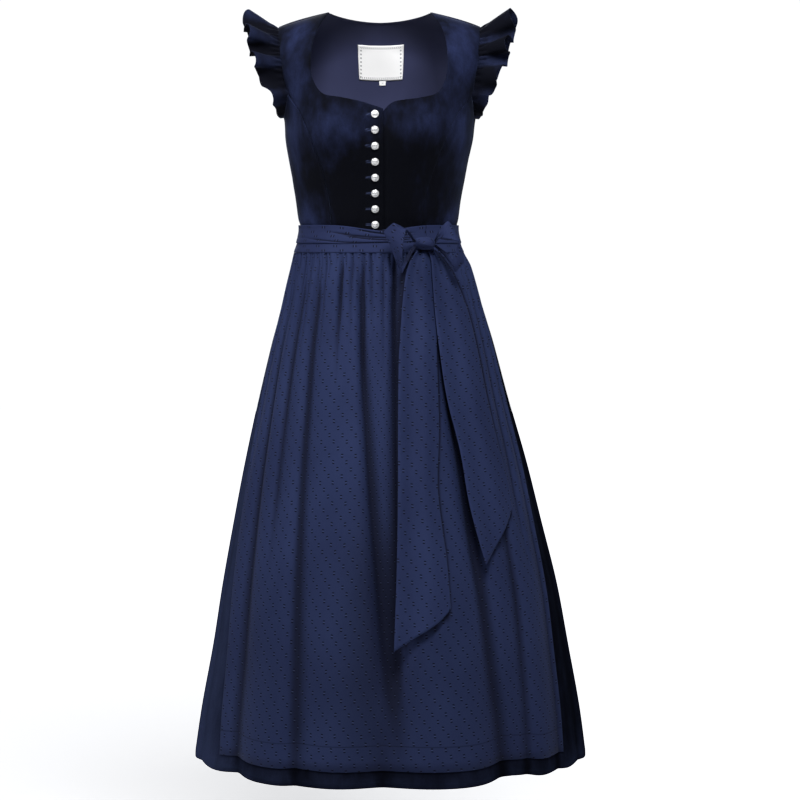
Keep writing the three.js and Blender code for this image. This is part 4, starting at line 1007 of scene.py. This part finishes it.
ruffle_velvet = velvet("ruffle velvet", srgb(6, 7, 15), srgb(31, 38, 66))
for side, key in ((-1, "left"), (1, "right")):
    rim = through(armhole(side, key), RUFFLE_STEPS)
    rim[:, 0] += side * RUFFLE_STANDOFF
    run = np.gradient(rim, axis=0)
    run /= np.linalg.norm(run, axis=1, keepdims=True)
    t = np.linspace(0, 1, RUFFLE_STEPS + 1)
    outward = np.full(t.shape, float(side))
    lean = np.stack([outward, -along(RUFFLE_ROWS, "ahead", t), along(RUFFLE_ROWS, "up", t)], axis=-1)
    lean /= np.linalg.norm(lean, axis=1, keepdims=True)
    face = np.cross(run, lean)
    face /= np.linalg.norm(face, axis=1, keepdims=True)
    phase = 2 * math.pi * (RUFFLE_WAVES * t + RUFFLE_UNEVEN * np.sin(6 * math.pi * t))
    crest = np.abs(np.cos(phase / 2 - math.pi / 4))
    width = along(RUFFLE_ROWS, "wide", t) * (0.87 + 0.2 * crest - 0.14 * crest**8)
    wave = along(RUFFLE_ROWS, "wave", t)
    share = np.linspace(0, 1, 29)[:, None]
    lift = wave * share**0.8 * np.sin(phase)
    under = -0.42 * wave * share**1.2 * np.sin(2 * phase)
    small = 0.9 * np.sin(5.3 * phase + 1) * np.exp(-((share - 0.12) / 0.14) ** 2) * (wave / 10)
    tuck = 5 * (1 - share) ** 8
    points = (rim[None] + lean[None] * (width * share - tuck)[..., None]
              + face[None] * (lift + small)[..., None] + run[None] * under[..., None])
    # Painted light on the crests of the waves, more towards the free edge, and painted shade in the troughs.
    nap_and_light = 0.3 + 0.35 * np.sin(phase + 0.8) * share
    painted_shade = np.clip(0.5 - 0.7 * np.sin(phase), 0, 1) * np.clip(1.3 - share, 0, 1)
    ruffle = cloth(f"ruffle_{key}_velvet", points, ruffle_velvet, [f"ruffle_{key}"],
                   RUFFLE_WALL, ruffle_velvet, fields={"nap_and_light": nap_and_light, "painted_shade": painted_shade})
    declare(points)


# Buttons: eight silvery domes with a rolled rim, each flat on the left front's velvet.
BUTTON_X, BUTTON_RADIUS, BUTTON_PROUD = -6.5, 6, 4.2
BUTTON_PROFILE = np.array((
    (0, 0), (0.9, 0), (0.97, 0.1), (1, 0.28), (0.97, 0.44), (0.9, 0.52), (0.82, 0.5), (0.76, 0.47),
    (0.71, 0.52), (0.6, 0.74), (0.42, 0.9), (0.22, 0.98), (0, 1),
))
silver_shader = Shader("silvered metal", Metallic=0.75, Roughness=0.34,
                       Base_Color=(*srgb(226, 227, 229), 1))
silver = silver_shader.feed(Normal=silver_shader.bump(silver_shader.noise(0.0012, 1.0), 0.0001, 0.4))
for number in range(BUTTONS):
    button_z = BUTTON_TOP - number * BUTTON_PITCH
    ends = [over(np.array(BUTTON_X), np.array(button_z + end), 0.0)
            for end in (BUTTON_RADIUS, -BUTTON_RADIUS)]
    out = np.array([0, ends[1][2] - ends[0][2], ends[0][1] - ends[1][1]])
    out = out / np.linalg.norm(out)
    seat = (ends[0] + ends[1]) / 2 + out * 0.5
    up = np.cross((1, 0, 0), out)
    turn = np.linspace(0, 2 * math.pi, 49)[None, :, None]
    radius = BUTTON_PROFILE[::-1, 0][:, None, None] * BUTTON_RADIUS
    height = BUTTON_PROFILE[::-1, 1][:, None, None] * BUTTON_PROUD
    points = seat + radius * (np.cos(turn) * np.array([1, 0, 0]) + np.sin(turn) * up) + height * out
    node = f"button_{number + 1}"
    cloth(node + "_silver", points, silver, [node], flip=True)


# Label: a white woven label inside the centre back with a border of small grey dashes, and its tab.
# Its lettering is left out.
def label_finish(half_wide, half_tall):
    """White satin with one line of dashes about 5 mm inside the edges."""
    shader = Shader("label satin", Roughness=0.6)
    across, down = shader.lay()
    side_edge = half_wide - abs(across)
    top_edge = half_tall - abs(down + half_tall)
    near_side = abs(side_edge - 0.0052).step(0.0016, 0.0009) * top_edge.step(0.0040, 0.0042)
    near_top = abs(top_edge - 0.0045).step(0.0018, 0.0012) * side_edge.step(0.0036, 0.0038)
    dash_side = abs((down / 0.0062).wrap()).step(0.26, 0.18)
    dash_top = abs(((across + down * 0.3) / 0.0031).wrap()).step(0.24, 0.16)
    grey = near_side * dash_side + near_top * dash_top
    weave = shader.noise(0.0007, 1.0)
    colour = shader.mix(grey * 0.75, srgb(250, 250, 250), srgb(120, 122, 128))
    return shader.feed(Base_Color=colour, Normal=shader.bump(weave, 0.0001, 0.4))


for name, rows, columns in (("label", (10, 12.45), (0.245, -0.2325)),
                            ("label_tab", (9.68, 9.98), (0.06, -0.012))):
    row = np.linspace(*rows, 25)[:, None]
    share = np.linspace(*columns, 31)[None, :]
    points = centre_back_points(row, share)
    points = points - normals_of(points) * (VELVET_WALL + 0.5)
    half_wide, half_tall = lengths(points, 1).max() * MM / 2, lengths(points, 0).max() * MM / 2
    patch = cloth(name + "_satin", points, label_finish(half_wide, half_tall), [name], 0.8)
    declare(points)
